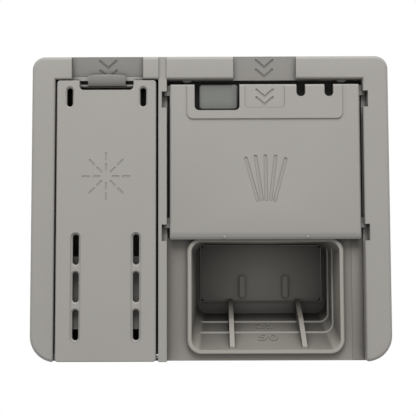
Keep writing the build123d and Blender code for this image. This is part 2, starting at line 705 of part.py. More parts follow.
def tank_float():
    body = rod_z(FLOAT_X, FLOAT_Y, FLOAT_Z, FLOAT_Z + FLOAT_H, FLOAT_R)
    top = FLOAT_Z + FLOAT_H
    body -= rod_z(FLOAT_X, FLOAT_Y, top - MAGNET_H, top, MAGNET_R)
    body += rod_z(FLOAT_X, FLOAT_Y, top - MAGNET_H - 0.5, top, MAGNET_IN_R)
    return body - rod_z(FLOAT_X, FLOAT_Y, FLOAT_Z - 1, top + 1, FLOAT_ROD_R + FLOAT_CLEAR)


def float_magnet():
    top = FLOAT_Z + FLOAT_H
    ring = rod_z(FLOAT_X, FLOAT_Y, top - MAGNET_H, top, MAGNET_R - PIN_CLEAR)
    return ring - rod_z(FLOAT_X, FLOAT_Y, top - MAGNET_H, top, MAGNET_IN_R + PIN_CLEAR)


def rear_cover():
    body = block(COVER_X0, COVER_X1, SKIRT_Y, COVER_Y, DIVIDER_Z, COVER_Z1)
    body = fillet(body.faces().sort_by(Axis.Y)[-1].edges(), COVER_EDGE_R)
    body -= block(
        COVER_X0 + WALL, COVER_X1 - WALL, SKIRT_Y - 1, COVER_Y - WALL, DIVIDER_Z + WALL, COVER_Z1 - WALL
    )
    for x in SCREW_X:
        for z in SCREW_Z:
            body += rod_y(x, SKIRT_Y, COVER_Y - WALL / 2, z, SCREW_BOSS_R)
            body -= rod_y(x, SKIRT_Y - 1, COVER_Y + 1, z, SCREW_R + PIN_CLEAR)
    x0 = PAWL_X - SHROUD_W / 2
    z0 = BLADE_Z - SHROUD_H / 2
    shroud = block(x0, x0 + SHROUD_W, COVER_Y - WALL / 2, COVER_Y + SHROUD_L, z0, z0 + SHROUD_H)
    lip = SENSOR_CLIP_T
    shroud -= block(
        x0 + lip, x0 + SHROUD_W - lip, COVER_Y, COVER_Y + SHROUD_L + 1, z0 + lip, z0 + SHROUD_H - lip
    )
    body += shroud
    for side in (-1, 1):
        x = PAWL_X + side * TERMINAL_PITCH / 2
        half = TERMINAL_W / 2 + PIN_CLEAR
        tall = TERMINAL_T / 2 + PIN_CLEAR
        body -= block(x - half, x + half, COVER_Y - WALL - 1, COVER_Y + 1, BLADE_Z - tall, BLADE_Z + tall)
    return body


def cover_screws():
    screws = []
    for x in SCREW_X:
        for z in SCREW_Z:
            screw = rod_y(x, COVER_Y - SCREW_L, COVER_Y, z, SCREW_R)
            screws.append(screw + rod_y(x, COVER_Y, COVER_Y + SCREW_HEAD_H, z, SCREW_HEAD_R))
    return Compound(children=screws)


def solenoid_yoke():
    x0 = PAWL_X - YOKE_W / 2
    y0 = PLUNGER_Y - YOKE_D / 2
    body = block(x0, x0 + YOKE_W, y0, y0 + YOKE_D, YOKE_Z, YOKE_Z1)
    body -= block(x0 - 1, x0 + YOKE_W + 1, y0 - 1, y0 + YOKE_D - YOKE_T, YOKE_Z + YOKE_T, YOKE_Z1 - YOKE_T)
    return body - rod_z(PAWL_X, PLUNGER_Y, YOKE_Z - 1, YOKE_Z1 + 1, BOBBIN_R + PIN_CLEAR)


def solenoid_bobbin():
    low = YOKE_Z + YOKE_T
    high = YOKE_Z1 - YOKE_T
    body = rod_z(PAWL_X, PLUNGER_Y, YOKE_Z, YOKE_Z1 + 0.5, BOBBIN_R)
    body += rod_z(PAWL_X, PLUNGER_Y, low, low + BOBBIN_FLANGE_T, BOBBIN_FLANGE_R)
    body += rod_z(PAWL_X, PLUNGER_Y, high - BOBBIN_FLANGE_T, high, BOBBIN_FLANGE_R)
    half = (TERMINAL_PITCH + TERMINAL_W) / 2 + 1
    body += block(PAWL_X - half, PAWL_X + half, PLUNGER_Y - 5, PLUNGER_Y + 7, YOKE_Z1, BLADE_Z + 2)
    body -= rod_z(PAWL_X, PLUNGER_Y, YOKE_Z - 1, high, PLUNGER_R + PLUNGER_CLEAR)
    for side in (-1, 1):
        body -= blade(side, PIN_CLEAR)
    return body


def blade(side, grow):
    x = PAWL_X + side * TERMINAL_PITCH / 2
    half = TERMINAL_W / 2 + grow
    tall = TERMINAL_T / 2 + grow
    return block(x - half, x + half, PLUNGER_Y - 1, COVER_Y + TERMINAL_OUT, BLADE_Z - tall, BLADE_Z + tall)


def terminal_blades():
    return Compound(children=[blade(-1, 0), blade(1, 0)])


def solenoid_coil():
    low = YOKE_Z + YOKE_T + BOBBIN_FLANGE_T
    high = YOKE_Z1 - YOKE_T - BOBBIN_FLANGE_T
    body = rod_z(PAWL_X, PLUNGER_Y, low, high, COIL_R)
    return body - rod_z(PAWL_X, PLUNGER_Y, low, high, BOBBIN_R)


def plunger():
    low = SHAFT_Z - NECK_H / 2
    high = SHAFT_Z + NECK_H / 2
    body = rod_z(PAWL_X, PLUNGER_Y, low - FOOT_H, low, PLUNGER_R)
    body += rod_z(PAWL_X, PLUNGER_Y, low - 0.5, high + 0.5, NECK_R)
    return body + rod_z(PAWL_X, PLUNGER_Y, high, high + PLUNGER_L, PLUNGER_R)


def plunger_spring():
    low = SHAFT_Z + NECK_H / 2 + PLUNGER_L
    high = YOKE_Z1 - YOKE_T
    wire = PLUNGER_SPRING_WIRE
    shape = coil(PLUNGER_R * 0.7, wire, PLUNGER_SPRING_COILS, high - low - 2 * wire - 0.1)
    return Pos(PAWL_X, PLUNGER_Y, low + wire + 0.05) * shape


def release_shaft():
    return rod_x(SHAFT_LEFT_X, SHAFT_RIGHT_X, SHAFT_Y, SHAFT_Z, SHAFT_R)


def shaft_seal():
    x0 = POCKET_X1 + WALL
    ring = rod_x(x0, COVER_X0, SHAFT_Y, SHAFT_Z, SEAL_RING_R)
    return ring - rod_x(x0, COVER_X0, SHAFT_Y, SHAFT_Z, SHAFT_R + PIN_CLEAR)


def pawl_lever():
    body = rod_x(HUB_X0, HUB_X1, SHAFT_Y, SHAFT_Z, HUB_R)
    x0 = PAWL_X - PAWL_W / 2
    x1 = PAWL_X + PAWL_W / 2
    z0 = PAWL_Z - PAWL_T / 2
    body += block(x0, x1, SHAFT_Y - 1.5, SHAFT_Y + 1.5, z0, SHAFT_Z)
    body += block(x0, x1, PAWL_TIP_Y, SHAFT_Y + 1.5, z0, z0 + PAWL_T)
    gap = NECK_R + FORK_CLEAR
    prong = block(
        PAWL_X - gap - CRANK_T,
        PAWL_X + gap + CRANK_T,
        SHAFT_Y,
        PLUNGER_Y + NECK_R,
        SHAFT_Z - CRANK_T / 2,
        SHAFT_Z + CRANK_T / 2,
    )
    prong -= block(PAWL_X - gap, PAWL_X + gap, PLUNGER_Y - gap - 1, PLUNGER_Y + 9, SHAFT_Z - 9, SHAFT_Z + 9)
    body += prong
    return body - rod_x(HUB_X0 - 1, HUB_X1 + 1, SHAFT_Y, SHAFT_Z, SHAFT_R)


def swung(shape):
    # Turned about the shaft from its closed place to where it rests.
    return Pos(0, SHAFT_Y, SHAFT_Z) * Rot(PAWL_THROW, 0, 0) * Pos(0, -SHAFT_Y, -SHAFT_Z) * shape


def dosing_arm():
    x0 = VALVE_X - VALVE_ARM_W / 2
    x1 = VALVE_X + VALVE_ARM_W / 2
    top = SHAFT_Z + VALVE_ARM + VALVE_PAD_R
    body = rod_x(x0, x1, SHAFT_Y, SHAFT_Z, SHAFT_R + WALL)
    body += block(x0, x1, SHAFT_Y, SHAFT_Y + VALVE_ARM_T, SHAFT_Z, top)
    pad_y = POCKET_Y - FACE_GAP - VALVE_PAD_T
    body += rod_y(VALVE_X, SHAFT_Y + 1, pad_y, SHAFT_Z + VALVE_ARM, VALVE_PAD_R - 1)
    return swung(body - rod_x(x0 - 1, x1 + 1, SHAFT_Y, SHAFT_Z, SHAFT_R))


def valve_pad():
    pad_y = POCKET_Y - FACE_GAP - VALVE_PAD_T
    return swung(rod_y(VALVE_X, pad_y, pad_y + VALVE_PAD_T, SHAFT_Z + VALVE_ARM, VALVE_PAD_R))


def detergent_lid():
    body = prism(panel(LID_X0, LID_X1, LID_Z0, LID_Z1, LID_CORNER_R), LID_Y, LID_BACK_Y)
    body = chamfer(body.faces().sort_by(Axis.Y)[0].edges(), LID_EDGE)
    raised = prism(
        open_top_panel(PANEL_X0, PANEL_X1, LID_Z1 - PANEL_H, LID_Z1 - LID_EDGE, PANEL_R),
        LID_Y - PANEL_RISE,
        LID_Y + 0.3,
    )
    raised = chamfer(raised.faces().sort_by(Axis.Y)[0].edges(), PANEL_RISE * 0.6)
    body += raised
    z_top = LID_Z1 + 5
    cutout = open_top_panel(
        CUTOUT_X - CUTOUT_W / 2, CUTOUT_X + CUTOUT_W / 2, LID_Z1 - CUTOUT_H, z_top, CUTOUT_R
    )
    body -= prism(cutout, FRONT_Y - 2, FLOOR_Y)
    pad = open_top_panel(BAY_X - PAD_W / 2, BAY_X + PAD_W / 2, LID_Z1 - PAD_H, z_top, PAD_R)
    body -= prism(pad, FRONT_Y - 2, LID_Y - PANEL_RISE + PAD_D)
    for share in USLOT_SHARES:
        x = LID_X1 - LID_W * share
        slot = open_top_panel(x - USLOT_W / 2, x + USLOT_W / 2, LID_Z1 - USLOT_H, z_top, USLOT_W * 0.48)
        body -= prism(slot, FRONT_Y - 2, FLOOR_Y)
    skirt_y = LUG_Y1
    low = LID_Z0 + 2.0
    body += block(LID_X0, LID_X0 + SKIRT_T, LID_BACK_Y - 0.4, skirt_y, low, LID_Z1 - 2)
    body += block(LID_X1 - SKIRT_T, LID_X1, LID_BACK_Y - 0.4, skirt_y, low, LID_Z1 - 2)
    reach = LID_SIDE_GAP + LUG_OUT
    for z in (LUG_Z, LUG_Z - LUG_SPAN):
        z0 = z - LUG_H / 2
        body += block(LID_X0 - reach, LID_X0 + SKIRT_T, LUG_Y0, LUG_Y1, z0, z0 + LUG_H)
        body += block(LID_X1 - SKIRT_T, LID_X1 + reach, LUG_Y0, LUG_Y1, z0, z0 + LUG_H)
    body += block(LID_X0 + 2, LID_X1 - 2, LID_BACK_Y - 0.4, RIM_Y - FACE_GAP, LID_Z0, LID_Z0 + SKIRT_T)
    z1 = LID_Z1 - CATCH_OFFSET
    x0 = BAY_X - CATCH_W / 2
    body += block(x0, x0 + CATCH_W, LID_BACK_Y - 0.4, CATCH_LOW_Y, z1 - CATCH_T, z1)
    return body + rod_y(PEG_X, LID_BACK_Y - 0.4, LINER_Y - 2 * FACE_GAP, POST_Z, PEG_R)


def lid_seal():
    x0 = BAY_X - CUP_IN_W / 2 - CUP_RIM_T
    z0 = CUP_Z0 - CUP_RIM_T + LID_TRAVEL
    z1 = CUP_Z1 + CUP_RIM_T + LID_TRAVEL
    outer = panel(x0, 2 * BAY_X - x0, z0, z1, CUP_CORNER_R + CUP_RIM_T)
    inner = panel(x0 + SEAL_W, 2 * BAY_X - x0 - SEAL_W, z0 + SEAL_W, z1 - SEAL_W, CUP_CORNER_R)
    return prism(outer, LID_BACK_Y, LID_BACK_Y + SEAL_T) - prism(inner, LID_BACK_Y, LID_BACK_Y + SEAL_T)


def lid_spring():
    low = POST_Z + PEG_R
    length = LID_SPRING_L - 2 * PEG_R
    wire = LID_SPRING_WIRE
    shape = coil(LID_SPRING_R, wire, LID_SPRING_COILS, length - 2 * wire - 0.1)
    return Pos(PEG_X, PEG_Y, low + wire + 0.05) * shape


def rinse_aid_lid():
    outline = panel(RINSE_LID_X0, RINSE_LID_X1, RINSE_LID_Z0, RINSE_LID_Z1, RINSE_CORNER_R)
    body = prism(outline, RINSE_Y, RINSE_BACK_Y)
    body = chamfer(body.faces().sort_by(Axis.Y)[0].edges(), RINSE_EDGE)
    notch = open_top_panel(
        NOTCH_X0, NOTCH_X1, RINSE_LID_Z1 - LATCH_NOTCH_H, RINSE_LID_Z1 + 5, LATCH_NOTCH_R
    )
    body -= prism(notch, FRONT_Y - 1, FLOOR_Y)
    for side in (-1, 1):
        x = RINSE_LID_X + side * TOP_SLOT_X
        body -= vent_slot(x, TOP_SLOT_Z, TOP_SLOT_W, TOP_SLOT_H, RINSE_Y)
        x = RINSE_LID_X + side * LOW_SLOT_X
        wide = LOW_SLOT_W + 2 * SLOT_CHAMFER + 0.6
        tall = LOW_SLOT_H + 2 * LOW_SLOT_PITCH + 2 * SLOT_CHAMFER + 0.6
        body -= prism(slot_sketch(x, LOW_SLOT_Z, wide, tall), RINSE_Y - 1, RINSE_Y + CHANNEL_D)
        for step in (-1, 0, 1):
            z = LOW_SLOT_Z + step * LOW_SLOT_PITCH
            body -= vent_slot(x, z, LOW_SLOT_W, LOW_SLOT_H, RINSE_Y + CHANNEL_D)
    skirt_y = RINSE_BACK_Y + RINSE_SKIRT_H
    low = RINSE_LID_Z0 + 2 * HINGE_Z
    high = RINSE_LID_Z1 - RINSE_CORNER_R
    body += block(RINSE_LID_X0, RINSE_LID_X0 + SKIRT_T, RINSE_BACK_Y - 0.4, skirt_y, low, high)
    body += block(RINSE_LID_X1 - SKIRT_T, RINSE_LID_X1, RINSE_BACK_Y - 0.4, skirt_y, low, high)
    for x in (NOTCH_X0 - LATCH_BOSS_W, NOTCH_X1):
        boss = block(
            x, x + LATCH_BOSS_W, RINSE_BACK_Y - 0.4, LATCH_PIN_Y + 2, LATCH_PIN_Z - 2, LATCH_PIN_Z + 1.7
        )
        body += boss - rod_x(x, x + LATCH_BOSS_W, LATCH_PIN_Y, LATCH_PIN_Z, LATCH_PIN_R + PIN_CLEAR)
    for x in (RINSE_LID_X0, RINSE_LID_X1 - HINGE_KNUCKLE_L):
        knuckle = rod_x(x, x + HINGE_KNUCKLE_L, HINGE_PIN_Y, HINGE_PIN_Z, HINGE_BARREL_R)
        knuckle += block(
            x,
            x + HINGE_KNUCKLE_L,
            RINSE_BACK_Y - 0.4,
            HINGE_PIN_Y,
            HINGE_PIN_Z - HINGE_BARREL_R,
            HINGE_PIN_Z + HINGE_BARREL_R,
        )
        body += knuckle
    body -= rod_x(RINSE_LID_X0, RINSE_LID_X1, HINGE_PIN_Y, HINGE_PIN_Z, HINGE_PIN_R + PIN_CLEAR)
    collar = rod_y(FILLER_X, RINSE_BACK_Y - 0.4, RINSE_BACK_Y + COLLAR_H, FILLER_Z, FILLER_SEAL_R + COLLAR_T)
    return body + collar - rod_y(FILLER_X, RINSE_BACK_Y, RINSE_BACK_Y + 9, FILLER_Z, FILLER_SEAL_R)


def vent_slot(x, z, width, height, y):
    # A through slot with a sloped rim on the front.
    hole = prism(slot_sketch(x, z, width, height), y - 1, RINSE_BACK_Y + 1)
    wide = slot_sketch(x, z, width + 2 * SLOT_CHAMFER, height + 2 * SLOT_CHAMFER)
    rim = prism(wide, y - 1, y + SLOT_CHAMFER)
    return hole + chamfer(rim.faces().sort_by(Axis.Y)[-1].edges(), SLOT_CHAMFER * 0.98)


def filler_seal():
    y1 = FILLER_TOP_Y - FACE_GAP
    ring = rod_y(FILLER_X, RINSE_BACK_Y, y1, FILLER_Z, FILLER_SEAL_R - PIN_CLEAR)
    return ring - rod_y(FILLER_X, RINSE_BACK_Y, y1, FILLER_Z, FILLER_SEAL_IN_R)


def hinge_pin():
    return rod_x(RINSE_X0 - HINGE_BITE, RINSE_X1 + HINGE_BITE, HINGE_PIN_Y, HINGE_PIN_Z, HINGE_PIN_R)


def lid_latch():
    # A lip that rises over the top edge and curves back towards its lower edge.
    x0 = RINSE_LID_X - TONGUE_W / 2
    x1 = RINSE_LID_X + TONGUE_W / 2
    low = RINSE_LID_Z1 - TONGUE_DROP
    high = RINSE_LID_Z1 + TONGUE_CREST
    y0 = RINSE_Y + TONGUE_SET
    face = ThreePointArc((y0, high - TONGUE_T / 2), (y0 + TONGUE_BEND, low + TONGUE_KNEE), (y0 + TONGUE_BACK, low))
    back = Polyline(
        (y0 + TONGUE_BACK, low),
        (y0 + TONGUE_BACK + TONGUE_T, low),
        (y0 + TONGUE_T, high),
        (y0 + TONGUE_T / 2, high),
        (y0, high - TONGUE_T / 2),
    )
    lip = extrude(Plane.YZ.offset(x0) * make_face(face + back), x1 - x0)
    edge = Polyline((x0, high - TONGUE_SAG), (x0, low - 1), (x1, low - 1), (x1, high - TONGUE_SAG))
    crest = ThreePointArc((x1, high - TONGUE_SAG), (RINSE_LID_X, high), (x0, high - TONGUE_SAG))
    body = lip & prism(make_face(edge + crest), y0 - 1, y0 + TONGUE_BACK + 2 * TONGUE_T)
    body += block(x0, x1, y0 + TONGUE_T, LATCH_PIN_Y, LATCH_PIN_Z - LATCH_PIN_R, LATCH_PIN_Z + LATCH_PIN_R)
    return body + rod_x(NOTCH_X0 - LATCH_BOSS_W, NOTCH_X1 + LATCH_BOSS_W, LATCH_PIN_Y, LATCH_PIN_Z, LATCH_PIN_R)


def release_button():
    x0 = BUTTON_X - BUTTON_W / 2
    x1 = BUTTON_X + BUTTON_W / 2
    z0 = BUTTON_Z1 - BUTTON_H
    y1 = BUTTON_Y + BUTTON_CAP_D
    body = prism(panel(x0, x1, z0, BUTTON_Z1, BUTTON_R), BUTTON_Y, y1)
    body = chamfer(body.faces().sort_by(Axis.Y)[0].edges(), BUTTON_EDGE)
    body += rod_y(BUTTON_X, BUTTON_Y + 1, FLANGE_BACK_Y + STEM_OUT, BUTTON_Z, STEM_R)
    return body - button_groove(CLIP_R + 1)


def button_groove(radius):
    y0 = FLANGE_BACK_Y + FACE_GAP
    ring = rod_y(BUTTON_X, y0, y0 + CLIP_T, BUTTON_Z, radius)
    return ring - rod_y(BUTTON_X, y0, y0 + CLIP_T, BUTTON_Z, STEM_R - CLIP_BITE)


def button_clip():
    return button_groove(CLIP_R)


def button_spring():
    y0 = BUTTON_Y + BUTTON_CAP_D
    wire = BUTTON_SPRING_WIRE
    shape = coil(BUTTON_SPRING_R, wire, BUTTON_SPRING_COILS, FLOOR_Y - y0 - 2 * wire - 0.1)
    return Pos(BUTTON_X, FLOOR_Y - wire - 0.05, BUTTON_Z) * Rot(90, 0, 0) * shape


os.makedirs("parts", exist_ok=True)
for make in (
    front_frame,
    base_plate,
    filler_neck,
    bay_liner,
    detergent_cup,
    door_gasket,
    rinse_tank,
    level_sensor,
    tank_float,
    float_magnet,
    rear_cover,
    cover_screws,
    solenoid_yoke,
    solenoid_bobbin,
    solenoid_coil,
    terminal_blades,
    plunger,
    plunger_spring,
    release_shaft,
    shaft_seal,
    pawl_lever,
    dosing_arm,
    valve_pad,
    detergent_lid,
    lid_seal,
    lid_spring,
    rinse_aid_lid,
    filler_seal,
    hinge_pin,
    lid_latch,
    release_button,
    button_clip,
    button_spring,
):
    export_step(make(), "parts/" + make.__name__ + ".step")
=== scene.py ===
from math import atan2, cos, pi, radians, sin

import bpy
from mathutils import Matrix, Vector


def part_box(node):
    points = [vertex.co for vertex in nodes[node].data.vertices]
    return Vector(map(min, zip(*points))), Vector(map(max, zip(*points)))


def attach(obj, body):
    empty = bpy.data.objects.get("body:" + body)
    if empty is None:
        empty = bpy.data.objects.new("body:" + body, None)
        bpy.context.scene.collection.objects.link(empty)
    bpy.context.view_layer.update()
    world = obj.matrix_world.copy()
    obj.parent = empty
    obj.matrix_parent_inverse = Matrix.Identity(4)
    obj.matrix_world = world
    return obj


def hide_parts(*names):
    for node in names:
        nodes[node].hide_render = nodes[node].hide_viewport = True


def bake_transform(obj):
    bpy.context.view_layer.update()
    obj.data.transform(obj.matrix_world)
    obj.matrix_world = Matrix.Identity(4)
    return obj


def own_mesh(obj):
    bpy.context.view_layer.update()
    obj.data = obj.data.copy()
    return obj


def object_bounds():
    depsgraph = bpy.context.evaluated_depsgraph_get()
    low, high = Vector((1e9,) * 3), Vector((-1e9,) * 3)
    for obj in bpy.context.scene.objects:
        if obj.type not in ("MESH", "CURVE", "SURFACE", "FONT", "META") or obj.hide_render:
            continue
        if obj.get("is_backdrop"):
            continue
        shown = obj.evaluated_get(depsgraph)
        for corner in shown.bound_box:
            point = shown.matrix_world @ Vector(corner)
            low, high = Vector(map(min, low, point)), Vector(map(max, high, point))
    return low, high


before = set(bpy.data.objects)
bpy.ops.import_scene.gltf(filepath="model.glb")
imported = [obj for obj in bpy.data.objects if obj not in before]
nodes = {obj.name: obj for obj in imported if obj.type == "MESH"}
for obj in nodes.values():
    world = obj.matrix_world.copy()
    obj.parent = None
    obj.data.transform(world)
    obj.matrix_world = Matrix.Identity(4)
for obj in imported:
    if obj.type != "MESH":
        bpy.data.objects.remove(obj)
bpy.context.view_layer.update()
bpy.ops.object.select_all(action="DESELECT")


# Front frame
# The visible grey moulding: two side borders, a top bar and the middle rail.
# Injection moulded plastic with a fine grain, welded to the base plate; a pair of
# chevrons is sunk into each of its two finger recesses.
def group_socket(tree, name, way, kind, value=None):
    socket = tree.interface.new_socket(name=name, in_out=way, socket_type=kind)
    if value is not None:
        socket.default_value = value


# Every finish shares this group: a cloudy tint, a fine grain and painted shade that darkens its
# nooks.
cloud_scale = 38.0
grain_roughness = 0.12
bump_strength = 0.35
sheen = 0.4
surface_grain = bpy.data.node_groups.new("surface_grain", "ShaderNodeTree")
group_socket(surface_grain, "Colour", "INPUT", "NodeSocketColor", (0.36, 0.35, 0.33, 1))
group_socket(surface_grain, "Tint spread", "INPUT", "NodeSocketFloat", 0.06)
group_socket(surface_grain, "Grain size", "INPUT", "NodeSocketFloat", 2600.0)
group_socket(surface_grain, "Stretch", "INPUT", "NodeSocketVector", (1, 1, 1))
group_socket(surface_grain, "Matt", "INPUT", "NodeSocketFloat", 0.5)
group_socket(surface_grain, "Crevice shade", "INPUT", "NodeSocketFloat", 1.0)
group_socket(surface_grain, "Shade reach", "INPUT", "NodeSocketFloat", 0.005)
group_socket(surface_grain, "Colour", "OUTPUT", "NodeSocketColor")
group_socket(surface_grain, "Roughness", "OUTPUT", "NodeSocketFloat")
group_socket(surface_grain, "Height", "OUTPUT", "NodeSocketFloat")
grain_nodes = surface_grain.nodes
grain_links = surface_grain.links
group_in = grain_nodes.new("NodeGroupInput")
group_out = grain_nodes.new("NodeGroupOutput")
coords = grain_nodes.new("ShaderNodeTexCoord")
cloud = grain_nodes.new("ShaderNodeTexNoise")
cloud.inputs["Scale"].default_value = cloud_scale
cloud.inputs["Detail"].default_value = 3.0
grain_links.new(coords.outputs["Object"], cloud.inputs["Vector"])
stretch = grain_nodes.new("ShaderNodeVectorMath")
stretch.operation = "MULTIPLY"
grain_links.new(coords.outputs["Object"], stretch.inputs[0])
grain_links.new(group_in.outputs["Stretch"], stretch.inputs[1])
grain = grain_nodes.new("ShaderNodeTexNoise")
grain.inputs["Detail"].default_value = 2.0
grain_links.new(stretch.outputs[0], grain.inputs["Vector"])
grain_links.new(group_in.outputs["Grain size"], grain.inputs["Scale"])
swing = grain_nodes.new("ShaderNodeMath")
swing.operation = "MULTIPLY_ADD"
swing.inputs[2].default_value = 1.0
centred = grain_nodes.new("ShaderNodeMath")
centred.operation = "SUBTRACT"
centred.inputs[1].default_value = 0.5
grain_links.new(cloud.outputs["Fac"], centred.inputs[0])
grain_links.new(centred.outputs[0], swing.inputs[0])
grain_links.new(group_in.outputs["Tint spread"], swing.inputs[1])
# Painted shade: ambient occlusion darkens the colour in nooks and between parts.
painted_nook_shade = grain_nodes.new("ShaderNodeAmbientOcclusion")
painted_nook_shade.samples = 8
grain_links.new(group_in.outputs["Shade reach"], painted_nook_shade.inputs["Distance"])
open_share = grain_nodes.new("ShaderNodeMath")
open_share.operation = "POWER"
grain_links.new(painted_nook_shade.outputs["AO"], open_share.inputs[0])
grain_links.new(group_in.outputs["Crevice shade"], open_share.inputs[1])
shade = grain_nodes.new("ShaderNodeMath")
shade.operation = "MULTIPLY"
grain_links.new(open_share.outputs[0], shade.inputs[0])
grain_links.new(swing.outputs[0], shade.inputs[1])
tint = grain_nodes.new("ShaderNodeVectorMath")
tint.operation = "SCALE"
grain_links.new(group_in.outputs["Colour"], tint.inputs[0])
grain_links.new(shade.outputs[0], tint.inputs["Scale"])
grain_links.new(tint.outputs[0], group_out.inputs["Colour"])
rough = grain_nodes.new("ShaderNodeMath")
rough.operation = "MULTIPLY_ADD"
rough.inputs[1].default_value = grain_roughness
grain_links.new(grain.outputs["Fac"], rough.inputs[0])
grain_links.new(group_in.outputs["Matt"], rough.inputs[2])
grain_links.new(rough.outputs[0], group_out.inputs["Roughness"])
grain_links.new(grain.outputs["Fac"], group_out.inputs["Height"])


def finish(
    name,
    colour,
    matt=0.5,
    spread=0.06,
    grain_size=2600.0,
    stretch=(1, 1, 1),
    depth=0.00004,
    crevice_shade=1.0,
    shade_reach=0.005,
):
    # A grained surface with painted shade in its nooks. The crevice and reach values set how
    # strong that painted shade is and how far out it reaches.
    material = bpy.data.materials.new(name)
    material.use_nodes = True
    tree = material.node_tree
    shader = tree.nodes["Principled BSDF"]
    skin = tree.nodes.new("ShaderNodeGroup")
    skin.node_tree = surface_grain
    skin.inputs["Colour"].default_value = (*colour, 1)
    skin.inputs["Tint spread"].default_value = spread
    skin.inputs["Grain size"].default_value = grain_size
    skin.inputs["Stretch"].default_value = stretch
    skin.inputs["Matt"].default_value = matt
    skin.inputs["Crevice shade"].default_value = crevice_shade
    skin.inputs["Shade reach"].default_value = shade_reach
    shader.inputs["Specular IOR Level"].default_value = sheen
    bump = tree.nodes.new("ShaderNodeBump")
    bump.inputs["Strength"].default_value = bump_strength
    bump.inputs["Distance"].default_value = depth
    tree.links.new(skin.outputs["Colour"], shader.inputs["Base Color"])
    tree.links.new(skin.outputs["Roughness"], shader.inputs["Roughness"])
    tree.links.new(skin.outputs["Height"], bump.inputs["Height"])
    tree.links.new(bump.outputs["Normal"], shader.inputs["Normal"])
    return material


def paint(piece, material):
    piece.data.materials.clear()
    piece.data.materials.append(material)


def only(piece):
    bpy.ops.object.select_all(action="DESELECT")
    piece.select_set(True)
    bpy.context.view_layer.objects.active = piece


merge_gap = 0.000002


def dressed(node, name):
    # A merged copy of a node, to be cut and shown in its place.
    piece = nodes[node].copy()
    piece.data = nodes[node].data.copy()
    piece.name = name
    piece.parent = None
    piece.matrix_world = Matrix.Identity(4)
    bpy.context.collection.objects.link(piece)
    only(piece)
    if piece.data.has_custom_normals:
        bpy.ops.mesh.customdata_custom_splitnormals_clear()
    bpy.ops.object.mode_set(mode="EDIT")
    bpy.ops.mesh.select_all(action="SELECT")
    bpy.ops.mesh.remove_doubles(threshold=merge_gap)
    bpy.ops.object.mode_set(mode="OBJECT")
    return piece


end_share = 0.49
end_segments = 4


def bar(length, width, deep, name):
    # A straight cutter with round ends, lying along X, its face towards the front.
    bpy.ops.object.select_all(action="DESELECT")
    bpy.ops.mesh.primitive_cube_add(size=1)
    piece = bpy.context.object
    piece.name = name
    piece.scale = (length, deep, width)
    bpy.ops.object.transform_apply(location=False, rotation=False, scale=True)
    ends = piece.modifiers.new("round_ends", "BEVEL")
    ends.width = width * end_share
    ends.segments = end_segments
    ends.limit_method = "WEIGHT"
    weights = piece.data.attributes.new("bevel_weight_edge", "FLOAT", "EDGE")
    for edge in piece.data.edges:
        a, b = (piece.data.vertices[i].co for i in edge.vertices)
        along_y = abs(a.y - b.y) > deep / 2
        weights.data[edge.index].value = 1.0 if along_y else 0.0
    only(piece)
    bpy.ops.object.modifier_apply(modifier="round_ends")
    return piece


def stroke(start, end, width, y, deep, name, tilt=0.0):
    # A bar cutter from start to end, points in X and Z, its middle at depth y.
    span = Vector((end[0] - start[0], end[1] - start[1]))
    piece = bar(span.length + width, width, deep, name)
    middle = Vector(((start[0] + end[0]) / 2, y, (start[1] + end[1]) / 2))
    turn = Matrix.Rotation(-atan2(span.y, span.x), 4, "Y")
    lean = Matrix.Rotation(tilt, 4, "X")
    piece.matrix_world = Matrix.Translation(middle) @ lean @ turn
    only(piece)
    bpy.ops.object.transform_apply(location=True, rotation=True, scale=True)
    return piece


def cut(piece, cutters):
    for cutter in cutters:
        only(piece)
        carve = piece.modifiers.new("carve", "BOOLEAN")
        carve.operation = "DIFFERENCE"
        carve.solver = "EXACT"
        carve.object = cutter
        bpy.ops.object.modifier_apply(modifier="carve")
        bpy.data.objects.remove(cutter, do_unlink=True)


def smooth(piece, angle=30):
    only(piece)
    bpy.ops.object.shade_smooth_by_angle(angle=radians(angle))


body_grey = finish("body_grey", (0.352, 0.338, 0.316), crevice_shade=0.75, shade_reach=0.003)
front = dressed("front_frame", "front_frame_shell")
frame_low, frame_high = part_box("front_frame")
face_y = frame_low.y
top_z = frame_high.z
# Each finger recess: its middle in X, its foot in Z, and the tops of its chevrons.
finger_recesses = (
    (-0.0511, 0.0663, (0.074, 0.0695)),
    (0.0272, 0.0633, (0.074, 0.0696)),
)
recess_over = 0.001
recess_top_d = 0.0007
recess_low_d = 0.0046
chevron_w = 0.0081
chevron_h = 0.0035
chevron_line = 0.0011
groove = 0.0007


def chevron(x, z, y, tilt, name):
    tip = (x, z - chevron_h)
    return [
        stroke((x - chevron_w / 2, z), tip, chevron_line, y, groove, name + "_left", tilt),
        stroke((x + chevron_w / 2, z), tip, chevron_line, y, groove, name + "_right", tilt),
    ]


cutters = []
for x, foot_z, tops in finger_recesses:
    run = top_z + recess_over - foot_z
    rise = recess_low_d - recess_top_d
    for z in tops:
        middle_z = z - chevron_h / 2
        y = face_y + recess_top_d + rise * (top_z + recess_over - middle_z) / run
        cutters += chevron(x, z, y, atan2(rise, run), "recess_chevron")
cut(front, cutters)
smooth(front)
paint(front, body_grey)
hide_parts("front_frame")
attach(front, "housing")


# Base plate
# The moulding behind the frame: bay floor, rinse-aid bay and the skirt with snap
# hooks that passes through the door sheet. Injection moulded in the frame's grey, with
# a low step in the floor beside the cup. Its colour is set darker than the frame's as
# painted shade on the recessed floor, and its nooks get a wide painted shade.
plate_grey_shaded = finish("plate_grey_shaded", (0.292, 0.274, 0.249), crevice_shade=0.95, shade_reach=0.018)
paint(nodes["base_plate"], plate_grey_shaded)


def block(corner, opposite, name):
    # A box between two opposite corners.
    bpy.ops.object.select_all(action="DESELECT")
    bpy.ops.mesh.primitive_cube_add(size=1)
    piece = bpy.context.object
    piece.name = name
    piece.scale = [b - a for a, b in zip(corner, opposite)]
    piece.location = [(a + b) / 2 for a, b in zip(corner, opposite)]
    bpy.ops.object.transform_apply(location=True, rotation=True, scale=True)
    return piece


